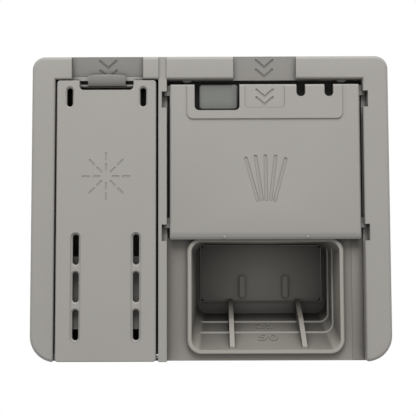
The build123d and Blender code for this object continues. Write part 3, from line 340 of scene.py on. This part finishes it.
def soft_edge(piece, width):
    # Round every edge of a box a little.
    soft = piece.modifiers.new("soft_edge", "BEVEL")
    soft.width = width
    soft.segments = 2
    only(piece)
    bpy.ops.object.modifier_apply(modifier="soft_edge")
    smooth(piece)


floor_y = -0.0035
bay_step_rise = 0.00025
bay_step_left = 0.0704
bay_step_right = 0.0761
bay_step_foot = -0.0756
bay_step_top = -0.0152
bay_step = block(
    (bay_step_left, floor_y - bay_step_rise, bay_step_foot),
    (bay_step_right, floor_y + bay_step_rise, bay_step_top),
    "bay_step",
)
soft_edge(bay_step, bay_step_rise / 3)
paint(bay_step, plate_grey_shaded)
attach(bay_step, "housing")


# Filler neck
# The sloped deck in the rinse-aid bay with its filler tube, moulded in the same
# grey and welded into the plate; it shows through the lid's vent slots.
paint(nodes["filler_neck"], plate_grey_shaded)


# Bay liner
# A thin black sheet on the bay floor behind the sliding lid, a painted shade. It is
# what shows as black in the gaps round the lid, the button and the open slots.
gap_shade_black = finish("gap_shade_black", (0.012, 0.012, 0.011), matt=0.7, spread=0.3)
paint(nodes["bay_liner"], gap_shade_black)


# Detergent cup
# A deep drafted cup welded into the plate, with a scooped lower wall and two fins,
# moulded apart from the frame. Its lower wall and the foot of its floor get painted
# shade, darker with depth, and its inside a deep painted shade in its nooks.
cup_grey_shaded = finish("cup_grey_shaded", (0.37, 0.349, 0.314), matt=0.46, crevice_shade=1.25, shade_reach=0.033)
cup_tree = cup_grey_shaded.node_tree


def ramp(value, start, end, first, last):
    # A painted shade factor that goes from first to last while the value goes from start to
    # end.
    node = cup_tree.nodes.new("ShaderNodeMapRange")
    node.inputs["From Min"].default_value = start
    node.inputs["From Max"].default_value = end
    node.inputs["To Min"].default_value = first
    cup_tree.links.new(value, node.inputs["Value"])
    if isinstance(last, float):
        node.inputs["To Max"].default_value = last
    else:
        cup_tree.links.new(last, node.inputs["To Max"])
    return node.outputs[0]


cup_coords = cup_tree.nodes.new("ShaderNodeTexCoord")
facing = cup_tree.nodes.new("ShaderNodeSeparateXYZ")
cup_tree.links.new(cup_coords.outputs["Normal"], facing.inputs[0])
place = cup_tree.nodes.new("ShaderNodeSeparateXYZ")
cup_tree.links.new(cup_coords.outputs["Object"], place.inputs[0])
# Painted shade on what faces up, the lower wall, darker with its depth.
wall_depth = (0.004, 0.031)
wall_shade_levels = (0.66, 0.56)
faces_up = (0.86, 0.92)
wall_depth_shade = ramp(place.outputs["Y"], *wall_depth, *wall_shade_levels)
wall_shade = ramp(facing.outputs["Z"], *faces_up, 1.0, wall_depth_shade)
# Painted shade on what lies deep and low: the foot of the floor, with the ends of the fins.
floor_foot = (-0.0535, -0.0475)
floor_shade_levels = (0.42, 1.0)
floor_depth = (0.022, 0.029)
floor_foot_shade = ramp(place.outputs["Z"], *floor_foot, *floor_shade_levels)
deep_floor_shade = ramp(place.outputs["Y"], *floor_depth, 1.0, floor_foot_shade)
painted_shade = cup_tree.nodes.new("ShaderNodeMath")
painted_shade.operation = "MULTIPLY"
cup_tree.links.new(wall_shade, painted_shade.inputs[0])
cup_tree.links.new(deep_floor_shade, painted_shade.inputs[1])
shaded_colour = cup_tree.nodes.new("ShaderNodeVectorMath")
shaded_colour.operation = "SCALE"
cup_tree.links.new(cup_tree.nodes["Group"].outputs["Colour"], shaded_colour.inputs[0])
cup_tree.links.new(painted_shade.outputs[0], shaded_colour.inputs["Scale"])
cup_tree.links.new(shaded_colour.outputs[0], cup_tree.nodes["Principled BSDF"].inputs["Base Color"])
paint(nodes["detergent_cup"], cup_grey_shaded)


# Level lines
# Two raised lines run along the cup's lower wall, round its right corner and up
# the side, with a plain fill number under each. They are part of the moulding.
mouth_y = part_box("detergent_cup")[0].y
cup_depth = 0.039
mouth_x = 0.02725
mouth_low = -0.0703
mouth_high = -0.017
mouth_half = 0.03685
side_draft = 0.0024
wall_rise = 0.0154
corner_r = 0.005
corner_segments = 8
ridge = 0.0007
line_start = -0.0057
line_stop = 0.0015
line_25_y = 0.022
line_50_y = 0.0105
letter_share = 0.7
letter_gap = 1.15
wall_slope = atan2(wall_rise, cup_depth)
# The raised lines are lighter than the cup's grey, a painted highlight; the numbers take the
# cup's grey darkened like the wall round them, a painted shade, with painted shade in their
# nooks.
ridge_highlight_grey = finish("ridge_highlight_grey", (0.42, 0.405, 0.38), crevice_shade=0.25, shade_reach=0.002)
number_shade_grey = finish("number_shade_grey", (0.24, 0.228, 0.206), crevice_shade=0.9, shade_reach=0.02)


def wall_z(y):
    return mouth_low + wall_rise * (y - mouth_y) / cup_depth


def edge_ends(edge, mesh):
    return [mesh.vertices[i].co for i in edge.vertices]


def face_outward(piece):
    only(piece)
    bpy.ops.object.mode_set(mode="EDIT")
    bpy.ops.mesh.select_all(action="SELECT")
    bpy.ops.mesh.normals_make_consistent(inside=False)
    bpy.ops.object.mode_set(mode="OBJECT")


def thicken(piece, thickness):
    wall = piece.modifiers.new("thick", "SOLIDIFY")
    wall.thickness = thickness
    wall.offset = 0
    only(piece)
    bpy.ops.object.modifier_apply(modifier="thick")
    face_outward(piece)
    smooth(piece)


def level_line(y, name):
    low_z = wall_z(y)
    right = mouth_x + mouth_half - side_draft * (y - mouth_y) / cup_depth
    top = mouth_high - line_stop
    bpy.ops.object.select_all(action="DESELECT")
    bpy.ops.mesh.primitive_plane_add(size=1, rotation=(pi / 2, 0, 0))
    line = bpy.context.object
    line.name = name
    line.location = ((line_start + right) / 2, y - ridge / 2, (low_z + top) / 2)
    line.scale = (right - line_start, top - low_z, 1)
    bpy.ops.object.transform_apply(location=True, rotation=True, scale=True)
    # Round the lower right corner, then keep only the lower and right runs.
    bpy.ops.object.mode_set(mode="EDIT")
    bpy.ops.mesh.select_all(action="DESELECT")
    bpy.ops.object.mode_set(mode="OBJECT")
    for vertex in line.data.vertices:
        vertex.select = vertex.co.x > right - ridge and vertex.co.z < low_z + ridge
    bpy.ops.object.mode_set(mode="EDIT")
    bpy.ops.mesh.bevel(offset=corner_r, segments=corner_segments, affect="VERTICES")
    bpy.ops.mesh.select_all(action="SELECT")
    bpy.ops.mesh.delete(type="ONLY_FACE")
    bpy.ops.mesh.select_all(action="DESELECT")
    bpy.ops.object.mode_set(mode="OBJECT")
    for edge in line.data.edges:
        a, b = edge_ends(edge, line.data)
        on_left = max(a.x, b.x) < line_start + ridge
        on_top = min(a.z, b.z) > top - ridge
        edge.select = on_left or on_top
    bpy.ops.object.mode_set(mode="EDIT")
    bpy.ops.mesh.select_mode(type="EDGE")
    bpy.ops.mesh.delete(type="EDGE")
    bpy.ops.mesh.select_all(action="SELECT")
    bpy.ops.mesh.extrude_edges_move(TRANSFORM_OT_translate={"value": (0, ridge, 0)})
    bpy.ops.mesh.select_mode(type="VERT")
    bpy.ops.object.mode_set(mode="OBJECT")
    thicken(line, 2 * ridge)
    paint(line, ridge_highlight_grey)
    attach(line, "housing")


def fill_number(words, x, y, tall, name):
    bpy.ops.object.select_all(action="DESELECT")
    bpy.ops.object.text_add()
    text = bpy.context.object
    text.name = name
    text.data.body = words
    text.data.align_x = "CENTER"
    text.data.align_y = "CENTER"
    text.data.size = tall / letter_share
    text.data.space_character = letter_gap
    text.data.extrude = ridge / 3
    text.data.bevel_depth = ridge / 10
    bpy.ops.object.convert(target="MESH")
    number = bpy.context.object
    lean = Matrix.Rotation(wall_slope, 4, "X")
    number.matrix_world = Matrix.Translation((x, y, wall_z(y))) @ lean
    bpy.ops.object.transform_apply(location=True, rotation=True, scale=True)
    smooth(number)
    paint(number, number_shade_grey)
    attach(number, "housing")


level_line(line_25_y, "level_line_25")
level_line(line_50_y, "level_line_50")
# Each number's middle in X, its depth in Y and its height.
number_25 = (0.0285, 0.0178, 0.0062)
number_50 = (0.0289, 0.0054, 0.0068)
fill_number("25", *number_25, "fill_number_25")
fill_number("50", *number_50, "fill_number_50")


# Cup floor outline
# A fine raised bead runs round the step on the cup's floor. It is part of the
# cup's moulding.
floor_step_left = -0.0055
floor_step_right = 0.06
floor_step_low = -0.0485
floor_step_high = -0.0181
floor_step_y = 0.0315
floor_bead = 0.0006
bpy.ops.object.select_all(action="DESELECT")
bpy.ops.mesh.primitive_plane_add(size=1, rotation=(pi / 2, 0, 0))
outline = bpy.context.object
outline.name = "cup_floor_outline"
floor_step_x = (floor_step_left + floor_step_right) / 2
floor_step_z = (floor_step_low + floor_step_high) / 2
outline.location = (floor_step_x, floor_step_y, floor_step_z)
outline.scale = (floor_step_right - floor_step_left, floor_step_high - floor_step_low, 1)
bpy.ops.object.transform_apply(location=True, rotation=True, scale=True)
wires = outline.modifiers.new("bead", "WIREFRAME")
wires.thickness = floor_bead
wires.use_even_offset = True
bpy.ops.object.modifier_apply(modifier="bead")
smooth(outline)
# The bead takes the lighter ridge grey, a painted highlight.
paint(outline, ridge_highlight_grey)
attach(outline, "housing")


# Seals
# The soft black pieces: the gasket that lies on the door sheet, the shaft seal and
# the valve pad. Compression moulded rubber, pressed into place.
rubber_black = (0.024, 0.024, 0.023)
seal_rubber = finish("seal_rubber", rubber_black, matt=0.62, spread=0.35, grain_size=1500.0)
for node in ("door_gasket", "shaft_seal", "valve_pad"):
    paint(nodes[node], seal_rubber)


# Rinse-aid tank
# A box of natural, milky plastic behind the left bay, with stiffening grooves in its
# back and a weld bead round its sides. It holds a white float with a ring magnet, read
# by a black sensor clipped outside.
tank_white = finish("tank_white", (0.66, 0.64, 0.58), matt=0.36, spread=0.1, grain_size=900.0)
tank_shader = tank_white.node_tree.nodes["Principled BSDF"]
tank_shader.inputs["Subsurface Weight"].default_value = 0.2
tank_shader.inputs["Subsurface Scale"].default_value = 0.002
tank = dressed("rinse_tank", "rinse_tank_shell")
tank_low, tank_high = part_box("rinse_tank")
tank_back = 0.038
groove_in = 0.011
groove_w = 0.003
groove_deep = 0.0012
tank_groove_zs = (-0.012, 0.008, 0.028, 0.048)
weld_y = 0.0262
weld_w = 0.0014
weld_out = 0.0006
weld_bead = dressed("rinse_tank", "tank_weld_bead")
# Keep only the outer edge of a slice through the tank, and give it width.
bpy.ops.object.mode_set(mode="EDIT")
bpy.ops.mesh.select_all(action="SELECT")
bpy.ops.mesh.bisect(
    plane_co=(0, weld_y, 0), plane_no=(0, 1, 0), clear_inner=True, clear_outer=True
)
bpy.ops.mesh.select_all(action="DESELECT")
bpy.ops.object.mode_set(mode="OBJECT")
for vertex in weld_bead.data.vertices:
    inside_x = tank_low.x + weld_out < vertex.co.x < tank_high.x - weld_out
    inside_z = tank_low.z + weld_out < vertex.co.z < tank_high.z - weld_out
    vertex.select = inside_x and inside_z
bpy.ops.object.mode_set(mode="EDIT")
bpy.ops.mesh.delete(type="VERT")
bpy.ops.mesh.select_all(action="SELECT")
bpy.ops.mesh.extrude_edges_move(TRANSFORM_OT_translate={"value": (0, weld_w, 0)})
bpy.ops.object.mode_set(mode="OBJECT")
face_outward(weld_bead)
thicken(weld_bead, 2 * weld_out)
paint(weld_bead, tank_white)
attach(weld_bead, "housing")
cutters = []
for z in tank_groove_zs:
    ends = (tank_low.x + groove_in, z), (tank_high.x - groove_in, z)
    cutters.append(stroke(*ends, groove_w, tank_back, groove_deep, "tank_groove"))
cut(tank, cutters)
smooth(tank)
paint(tank, tank_white)
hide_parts("rinse_tank")
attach(tank, "housing")
float_white = finish("float_white", (0.7, 0.69, 0.66), matt=0.5, grain_size=1800.0)
paint(nodes["tank_float"], float_white)
ferrite = (0.05, 0.048, 0.047)
magnet_black = finish("magnet_black", ferrite, matt=0.55, spread=0.3, grain_size=4000.0)
paint(nodes["float_magnet"], magnet_black)
black_plastic = finish("black_plastic", (0.021, 0.021, 0.022), matt=0.44, spread=0.2)
paint(nodes["level_sensor"], black_plastic)


# Solenoid
# A bent steel yoke with a copper coil on a white bobbin, two tinned brass blades
# for the plug, and a ground steel plunger with its return spring.
metal_grain = 1400.0
metal_depth = 0.00002
round_steps = 24
round_angle = 60
wire_sides = 8
plunger_coil_turns = 5


def metal(name, colour, matt, stretch=(1, 1, 1), spread=0.16):
    material = finish(name, colour, matt, spread, metal_grain, stretch, metal_depth)
    material.node_tree.nodes["Principled BSDF"].inputs["Metallic"].default_value = 1.0
    return material


# How each metal's grain is drawn out by the way it was worked.
rolled_z = (1.0, 1.0, 0.05)
wound_round = (0.05, 0.05, 1.6)
rolled_y = (1.0, 0.06, 1.0)
ground_round = (0.08, 0.08, 1.5)
yoke_steel = metal("yoke_steel", (0.5, 0.5, 0.49), matt=0.32, stretch=rolled_z, spread=0.25)
paint(nodes["solenoid_yoke"], yoke_steel)
bobbin_white = finish("bobbin_white", (0.6, 0.57, 0.48), matt=0.42)
paint(nodes["solenoid_bobbin"], bobbin_white)
copper = metal("copper", (0.62, 0.28, 0.13), matt=0.24, stretch=wound_round, spread=0.35)
paint(nodes["solenoid_coil"], copper)
blade_brass = metal("blade_brass", (0.66, 0.6, 0.46), matt=0.26, stretch=rolled_y)
paint(nodes["terminal_blades"], blade_brass)
plunger_steel = metal("plunger_steel", (0.56, 0.56, 0.55), matt=0.22, stretch=ground_round)
paint(nodes["plunger"], plunger_steel)
spring_steel = metal("spring_steel", (0.58, 0.58, 0.57), matt=0.2)


def wire_coil(radius, wire, turns, length, name):
    # Round wire wound along Z from the origin, its two cut ends closed.
    bpy.ops.object.select_all(action="DESELECT")
    bpy.ops.mesh.primitive_circle_add(
        vertices=wire_sides, radius=wire, location=(radius, 0, wire), rotation=(pi / 2, 0, 0)
    )
    spring = bpy.context.object
    spring.name = name
    bpy.ops.object.transform_apply(location=True, rotation=True, scale=True)
    wind = spring.modifiers.new("wind", "SCREW")
    wind.screw_offset = (length - 2 * wire) / turns
    wind.iterations = turns
    wind.steps = round_steps
    wind.render_steps = round_steps
    bpy.ops.object.modifier_apply(modifier="wind")
    close_ends(spring)
    return spring


def close_ends(piece):
    bpy.ops.object.mode_set(mode="EDIT")
    bpy.ops.mesh.select_all(action="SELECT")
    bpy.ops.mesh.remove_doubles(threshold=merge_gap)
    bpy.ops.mesh.fill_holes(sides=0)
    bpy.ops.object.mode_set(mode="OBJECT")
    face_outward(piece)


def settle(piece, place):
    piece.matrix_world = place
    only(piece)
    bpy.ops.object.transform_apply(location=True, rotation=True, scale=True)


low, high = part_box("plunger_spring")
middle = (low + high) / 2
wire = 0.0004
coil_r = (high.x - low.x) / 2 - wire
coil_long = high.z - low.z
plunger_coil = wire_coil(coil_r, wire, plunger_coil_turns, coil_long, "plunger_coil_spring")
settle(plunger_coil, Matrix.Translation((middle.x, middle.y, low.z)))
smooth(plunger_coil, round_angle)
paint(plunger_coil, spring_steel)
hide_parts("plunger_spring")
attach(plunger_coil, "housing")
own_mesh(plunger_coil)


# Release gear
# A steel cross shaft carries the pawl lever over the lid's catch at one end and the
# dosing arm with its valve pad at the other. Both levers are white acetal.
drawn_x = (0.05, 1.0, 1.0)
pin_steel = metal("pin_steel", (0.55, 0.55, 0.54), matt=0.24, stretch=drawn_x)
paint(nodes["release_shaft"], pin_steel)
lever_white = finish("lever_white", (0.7, 0.69, 0.65), matt=0.38)
for node in ("pawl_lever", "dosing_arm"):
    paint(nodes[node], lever_white)


# Rear cover
# The black moulded box lid over the solenoid, with a plug shroud at its top and a row
# of stiffening grooves, held by four cross-recess screws driven into bosses.
cover = dressed("rear_cover", "rear_cover_shell")
cover_back = 0.0315
cover_groove_count = 8
cover_groove_x = 0.0025
cover_groove_pitch = 0.0079
cover_groove_w = 0.0026
cover_groove_low = 0.0
cover_groove_high = 0.031
cutters = []
for index in range(cover_groove_count):
    x = cover_groove_x + index * cover_groove_pitch
    foot = (x, cover_groove_low)
    top = (x, cover_groove_high)
    cutters.append(stroke(foot, top, cover_groove_w, cover_back, groove_deep, "cover_groove"))
cut(cover, cutters)
smooth(cover)
paint(cover, black_plastic)
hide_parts("rear_cover")
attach(cover, "housing")
screws = dressed("cover_screws", "cover_screw_set")
low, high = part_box("cover_screws")
head_r = 0.0035
recess_w = 0.0009
recess_deep = 0.0026
arm = 0.0015
cutters = []
for x in (low.x + head_r, high.x - head_r):
    for z in (low.z + head_r, high.z - head_r):
        for ends in (((x - arm, z), (x + arm, z)), ((x, z - arm), (x, z + arm))):
            cutters.append(stroke(*ends, recess_w, high.y, recess_deep, "cross_recess"))
cut(screws, cutters)
smooth(screws)
screw_steel = metal("screw_steel", (0.5, 0.5, 0.5), matt=0.3)
paint(screws, screw_steel)
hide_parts("cover_screws")
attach(screws, "housing")


# Detergent lid
# The sliding cover, shown open: a moulded plate with a raised panel, a finger pad
# with chevrons, a fan mark of five shallow grooves and two pips on its lower lip.
lid_grey = finish("lid_grey", (0.36, 0.345, 0.323), crevice_shade=0.75, shade_reach=0.003)
lid = dressed("detergent_lid", "detergent_lid_shell")
lid_low, lid_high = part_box("detergent_lid")
panel_rise = 0.0006
pad_sink = 0.00035
lid_y = lid_low.y + panel_rise
pad_y = lid_low.y + pad_sink
fan_w = 0.0018
fan_deep = 0.0007
# The lower lip's round, as points back from the face and up from the lid's foot.
lip_round = ((0.0, 0.0036), (0.00025, 0.0022), (0.00075, 0.001), (0.0015, 0.0))
lip_cut_w = 0.12
pad_x = 0.0272
pad_chevron_tops = (0.0588, 0.0549)
# Each groove of the fan, from its top to its foot, in X and Z.
fan_lines = (
    ((0.0177, 0.0242), (0.0234, 0.0035)),
    ((0.0225, 0.0252), (0.0255, 0.0039)),
    ((0.0274, 0.0254), (0.0276, 0.0039)),
    ((0.0324, 0.0252), (0.0299, 0.0039)),
    ((0.0374, 0.0239), (0.032, 0.0035)),
)
pip_places = ((0.0069, "lid_lip_pip_left"), (0.0481, "lid_lip_pip_right"))
pip_z = -0.0146
pip_r = 0.0008
pip_flat = 0.7


def slope_cutter(x, width, upper, lower, name):
    # A block that takes off what stands before the slope from upper to lower, in Y and Z.
    side = 0.006
    turn = atan2(lower[0] - upper[0], upper[1] - lower[1])
    bpy.ops.object.select_all(action="DESELECT")
    bpy.ops.mesh.primitive_cube_add(size=1)
    piece = bpy.context.object
    piece.name = name
    piece.scale = (width, side, side)
    piece.rotation_euler = (turn, 0, 0)
    piece.location = (
        x,
        (upper[0] + lower[0]) / 2 - cos(turn) * side / 2,
        (upper[1] + lower[1]) / 2 - sin(turn) * side / 2,
    )
    bpy.ops.object.transform_apply(location=True, rotation=True, scale=True)
    return piece


cutters = []
lid_x = (lid_low.x + lid_high.x) / 2
for (y_a, z_a), (y_b, z_b) in zip(lip_round, lip_round[1:]):
    upper = (lid_y + y_a, lid_low.z + z_a)
    lower = (lid_y + y_b, lid_low.z + z_b)
    cutters.append(slope_cutter(lid_x, lip_cut_w, upper, lower, "lip_round"))
for z in pad_chevron_tops:
    cutters += chevron(pad_x, z, pad_y, 0.0, "pad_chevron")
for top, foot in fan_lines:
    cutters.append(stroke(top, foot, fan_w, lid_y, fan_deep, "fan_groove"))
cut(lid, cutters)
smooth(lid)
paint(lid, lid_grey)
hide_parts("detergent_lid")
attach(lid, "detergent_lid")
pip_y = lid_y + lip_round[2][0]
for x, name in pip_places:
    bpy.ops.object.select_all(action="DESELECT")
    bpy.ops.mesh.primitive_uv_sphere_add(segments=20, ring_count=12, radius=pip_r)
    pip = bpy.context.object
    pip.name = name
    settle(pip, Matrix.Translation((x, pip_y, pip_z)) @ Matrix.Diagonal((1, pip_flat, 1, 1)))
    smooth(pip, round_angle)
    paint(pip, lid_grey)
    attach(pip, "detergent_lid")


# Lid seal and lid spring
# A rubber frame under the lid closes the cup's rim. A drawn steel spring with an eye
# at each end hangs from the plate and pulls the lid up when the pawl lets go.
paint(nodes["lid_seal"], seal_rubber)
low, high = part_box("lid_spring")
middle = (low + high) / 2
wire = 0.00032
coil_r = (high.x - low.x) / 2 - wire
eye_r = 0.00125
eye_turn = radians(320)
lid_coil_turns = 34
lid_coil = wire_coil(coil_r, wire, lid_coil_turns, high.z - low.z, "lid_pull_spring")
settle(lid_coil, Matrix.Translation((middle.x, middle.y, low.z)))
for end, name in ((high.z + eye_r, "top_eye"), (low.z - eye_r, "low_eye")):
    bpy.ops.object.select_all(action="DESELECT")
    bpy.ops.mesh.primitive_circle_add(
        vertices=wire_sides, radius=wire, location=(eye_r + wire, 0, 0), rotation=(pi / 2, 0, 0)
    )
    eye = bpy.context.object
    eye.name = name
    bpy.ops.object.transform_apply(location=True, rotation=True, scale=True)
    turn = eye.modifiers.new("turn", "SCREW")
    turn.angle = eye_turn
    turn.steps = round_steps
    turn.render_steps = round_steps
    bpy.ops.object.modifier_apply(modifier="turn")
    close_ends(eye)
    settle(eye, Matrix.Translation((middle.x, middle.y, end)) @ Matrix.Rotation(pi / 2, 4, "X"))
    only(lid_coil)
    eye.select_set(True)
    bpy.ops.object.join()
smooth(lid_coil, round_angle)
paint(lid_coil, spring_steel)
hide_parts("lid_spring")
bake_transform(lid_coil)


# Rinse-aid lid
# The hinged cover on the left: a moulded plate with vent slots and an engraved
# star of eight broken rays, turning on a ground steel pin at its foot.
rinse_lid = dressed("rinse_aid_lid", "rinse_aid_lid_shell")
rinse_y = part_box("rinse_aid_lid")[0].y
star_x = -0.0517
star_z = 0.0155
ray_w = 0.0009
ray_deep = 0.0004
ray_count = 8
ray_spans = ((0.0033, 0.0061), (0.0084, 0.0115))
cutters = []
for ray in range(ray_count):
    angle = ray * 2 * pi / ray_count
    way = Vector((cos(angle), sin(angle)))
    for near, far in ray_spans:
        a = Vector((star_x, star_z)) + way * near
        b = Vector((star_x, star_z)) + way * far
        cutters.append(stroke(a, b, ray_w, rinse_y, ray_deep, "star_ray"))
dish_w = 0.0055
dish_h = 0.0125
dish_deep = 0.0012
dish_in = 0.0025
dish_xs = (-0.07, -0.0334)
dish_z = 0.0553
for x in dish_xs:
    dish = bar(dish_h, dish_w, dish_deep, "slot_dish")
    bpy.ops.object.mode_set(mode="EDIT")
    bpy.ops.mesh.select_all(action="DESELECT")
    bpy.ops.object.mode_set(mode="OBJECT")
    for vertex in dish.data.vertices:
        vertex.select = vertex.co.y > 0
    bpy.ops.object.mode_set(mode="EDIT")
    taper = ((dish_h - dish_in) / dish_h, 1, (dish_w - dish_in) / dish_w)
    bpy.ops.transform.resize(value=taper)
    bpy.ops.object.mode_set(mode="OBJECT")
    settle(dish, Matrix.Translation((x, rinse_y, dish_z)) @ Matrix.Rotation(pi / 2, 4, "Y"))
    cutters.append(dish)
cut(rinse_lid, cutters)
smooth(rinse_lid)
paint(rinse_lid, lid_grey)
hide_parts("rinse_aid_lid")
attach(rinse_lid, "rinse_aid_lid")
paint(nodes["hinge_pin"], pin_steel)
paint(nodes["filler_seal"], seal_rubber)


# Gap strips
# Thin black strips in the opening round the rinse-aid lid, a painted shade and a guess
# at what shows black there: one on the left wall, two under the top bar, one on the
# floor at the right.
low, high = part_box("rinse_aid_lid")
strip_thick = 0.0003
strip_front = -0.0092
strip_back = -0.0042
gap_left = -0.0773
gap_right = -0.0262
gap_top = 0.0643
gap_foot = -0.0668
notch_left = -0.0655
notch_right = -0.0381
under_lid = 0.0006
under_bar = gap_top - strip_thick
strips = [
    block(
        (gap_left, strip_front, gap_foot),
        (gap_left + strip_thick, strip_back, gap_top),
        "gap_shade_strip_left",
    ),
    block(
        (gap_left + strip_thick, strip_front, under_bar),
        (notch_left, strip_back, gap_top),
        "gap_shade_strip_top_left",
    ),
    block(
        (notch_right, strip_front, under_bar),
        (gap_right, strip_back, gap_top),
        "gap_shade_strip_top_right",
    ),
    block(
        (high.x - under_lid, floor_y - strip_thick, gap_foot),
        (gap_right, floor_y, gap_top),
        "gap_shade_strip_right",
    ),
]
for strip in strips:
    soft_edge(strip, strip_thick / 4)
    paint(strip, gap_shade_black)
    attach(strip, "housing")


# Lid latch
# A small grey moulded finger lip in the notch of the rinse-aid lid. It turns on its
# two end pins. The foot of its lip is cut back, so that a dark line shows below it.
# Its grey is set darker than the lid's as painted shade on its down-turned face, and its nooks
# get painted shade out to 8 mm.
latch_grey = finish("latch_grey", (0.265, 0.254, 0.238), matt=0.4, shade_reach=0.008)
latch = dressed("lid_latch", "lid_latch_lip")
low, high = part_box("lid_latch")
latch_x = (low.x + high.x) / 2
# The hollow's upper and lower edge, in Y and Z.
hollow_top = (-0.00855, 0.062)
hollow_foot = (-0.0071, 0.0596)
lip_w = 0.0186
lip_side = 0.0006
lip_foot = low.z + 0.0017
pin_foot = low.z + 0.00105
pin_front = -0.00685
trim_low = (latch_x - lip_w / 2 - lip_side, low.y - lip_side, low.z - lip_side)
trim_right = latch_x + lip_w / 2 + lip_side
cutters = [
    slope_cutter(latch_x, lip_w, hollow_top, hollow_foot, "lip_hollow"),
    block(trim_low, (trim_right, pin_front, lip_foot), "lip_trim_front"),
    block(trim_low, (trim_right, high.y + lip_side, pin_foot), "lip_trim_back"),
]
cut(latch, cutters)
smooth(latch)
paint(latch, latch_grey)
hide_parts("lid_latch")
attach(latch, "lid_latch")


# Release button
# The dark grey push button in the corner of the bay, kept by a clip behind the
# plate and pushed out by a small steel spring.
button_grey = finish("button_grey", (0.172, 0.178, 0.165), matt=0.42)
paint(nodes["release_button"], button_grey)
paint(nodes["button_clip"], lever_white)
low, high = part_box("button_spring")
middle = (low + high) / 2
wire = 0.00013
button_coil_turns = 2
coil_r = (high.x - low.x) / 2 - wire
coil_long = high.y - low.y
button_coil = wire_coil(coil_r, wire, button_coil_turns, coil_long, "button_coil_spring")
settle(
    button_coil,
    Matrix.Translation((middle.x, high.y, middle.z)) @ Matrix.Rotation(pi / 2, 4, "X"),
)
smooth(button_coil, round_angle)
paint(button_coil, spring_steel)
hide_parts("button_spring")
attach(button_coil, "housing")
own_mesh(button_coil)


# Studio
# A grey floor well below the part and an even world, both white where they are seen,
# and one soft key lamp above and in front.
floor_size = 6
floor_z = -0.5
floor_shade = 0.5
world_light = 0.5
key_place = (0.0, -0.7, 1.0)
key_size = 0.7
key_power = 13.2
pure_white = (1, 1, 1, 1)


def seen_rays(tree):
    # One for the camera, glossy and transmitted rays that see the background, else nought.
    path = tree.nodes.new("ShaderNodeLightPath")
    seen = tree.nodes.new("ShaderNodeMath")
    seen.operation = "MAXIMUM"
    either = tree.nodes.new("ShaderNodeMath")
    either.operation = "MAXIMUM"
    tree.links.new(path.outputs["Is Camera Ray"], seen.inputs[0])
    tree.links.new(path.outputs["Is Glossy Ray"], seen.inputs[1])
    tree.links.new(seen.outputs[0], either.inputs[0])
    tree.links.new(path.outputs["Is Transmission Ray"], either.inputs[1])
    return either.outputs[0]


floor_mat = bpy.data.materials.new("studio_floor")
floor_mat.use_nodes = True
floor_tree = floor_mat.node_tree
floor_shader = floor_tree.nodes["Principled BSDF"]
floor_shader.inputs["Base Color"].default_value = (floor_shade, floor_shade, floor_shade, 1)
floor_shader.inputs["Roughness"].default_value = 0.9
bpy.ops.object.select_all(action="DESELECT")
bpy.ops.mesh.primitive_plane_add(size=floor_size, location=(0, 0, floor_z))
floor = bpy.context.object
floor.name = "studio_floor"
floor.data.materials.append(floor_mat)
floor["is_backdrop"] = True
glow = floor_tree.nodes.new("ShaderNodeEmission")
glow.inputs["Color"].default_value = pure_white
glow.inputs["Strength"].default_value = 1.0
floor_mix = floor_tree.nodes.new("ShaderNodeMixShader")
floor_tree.links.new(seen_rays(floor_tree), floor_mix.inputs["Fac"])
floor_tree.links.new(floor_shader.outputs["BSDF"], floor_mix.inputs[1])
floor_tree.links.new(glow.outputs["Emission"], floor_mix.inputs[2])
floor_out = floor_tree.nodes["Material Output"]
floor_tree.links.new(floor_mix.outputs["Shader"], floor_out.inputs["Surface"])

world = bpy.data.worlds.new("studio_world")
bpy.context.scene.world = world
world.use_nodes = True
world_tree = world.node_tree
plain = world_tree.nodes["Background"]
plain.inputs["Color"].default_value = pure_white
plain.inputs["Strength"].default_value = world_light
white = world_tree.nodes.new("ShaderNodeBackground")
white.inputs["Color"].default_value = pure_white
white.inputs["Strength"].default_value = 1.0
world_mix = world_tree.nodes.new("ShaderNodeMixShader")
world_tree.links.new(seen_rays(world_tree), world_mix.inputs["Fac"])
world_tree.links.new(plain.outputs["Background"], world_mix.inputs[1])
world_tree.links.new(white.outputs["Background"], world_mix.inputs[2])
world_out = world_tree.nodes["World Output"]
world_tree.links.new(world_mix.outputs["Shader"], world_out.inputs["Surface"])

bpy.ops.object.light_add(type="AREA", location=key_place)
key_lamp = bpy.context.object
key_lamp.name = "key_lamp"
key_lamp.data.size = key_size
key_lamp.data.energy = key_power
key_lamp.rotation_euler = (-Vector(key_place)).to_track_quat("-Z", "Y").to_euler()
bpy.context.scene.view_settings.view_transform = "Standard"

# Camera
# In front of the part and a little below its middle, looking slightly up.
sensor_mm = 36.0
picture_px = 416
focal_px = 801.3
camera_place = (-0.00039, -0.4055, -0.02632)
yaw = radians(0.121)
look_up = radians(3.756)
roll = radians(0.183)
bpy.ops.object.camera_add()
camera = bpy.context.object
camera.data.sensor_width = sensor_mm
camera.data.lens = sensor_mm * focal_px / picture_px
camera.data.clip_start = 0.01
aim = (
    Matrix.Rotation(yaw, 4, "Z")
    @ Matrix.Rotation(look_up, 4, "X")
    @ Matrix.Rotation(roll, 4, "Y")
    @ Matrix.Rotation(pi / 2, 4, "X")
)
camera.matrix_world = Matrix.Translation(camera_place) @ aim
bpy.context.scene.camera = camera

low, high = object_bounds()
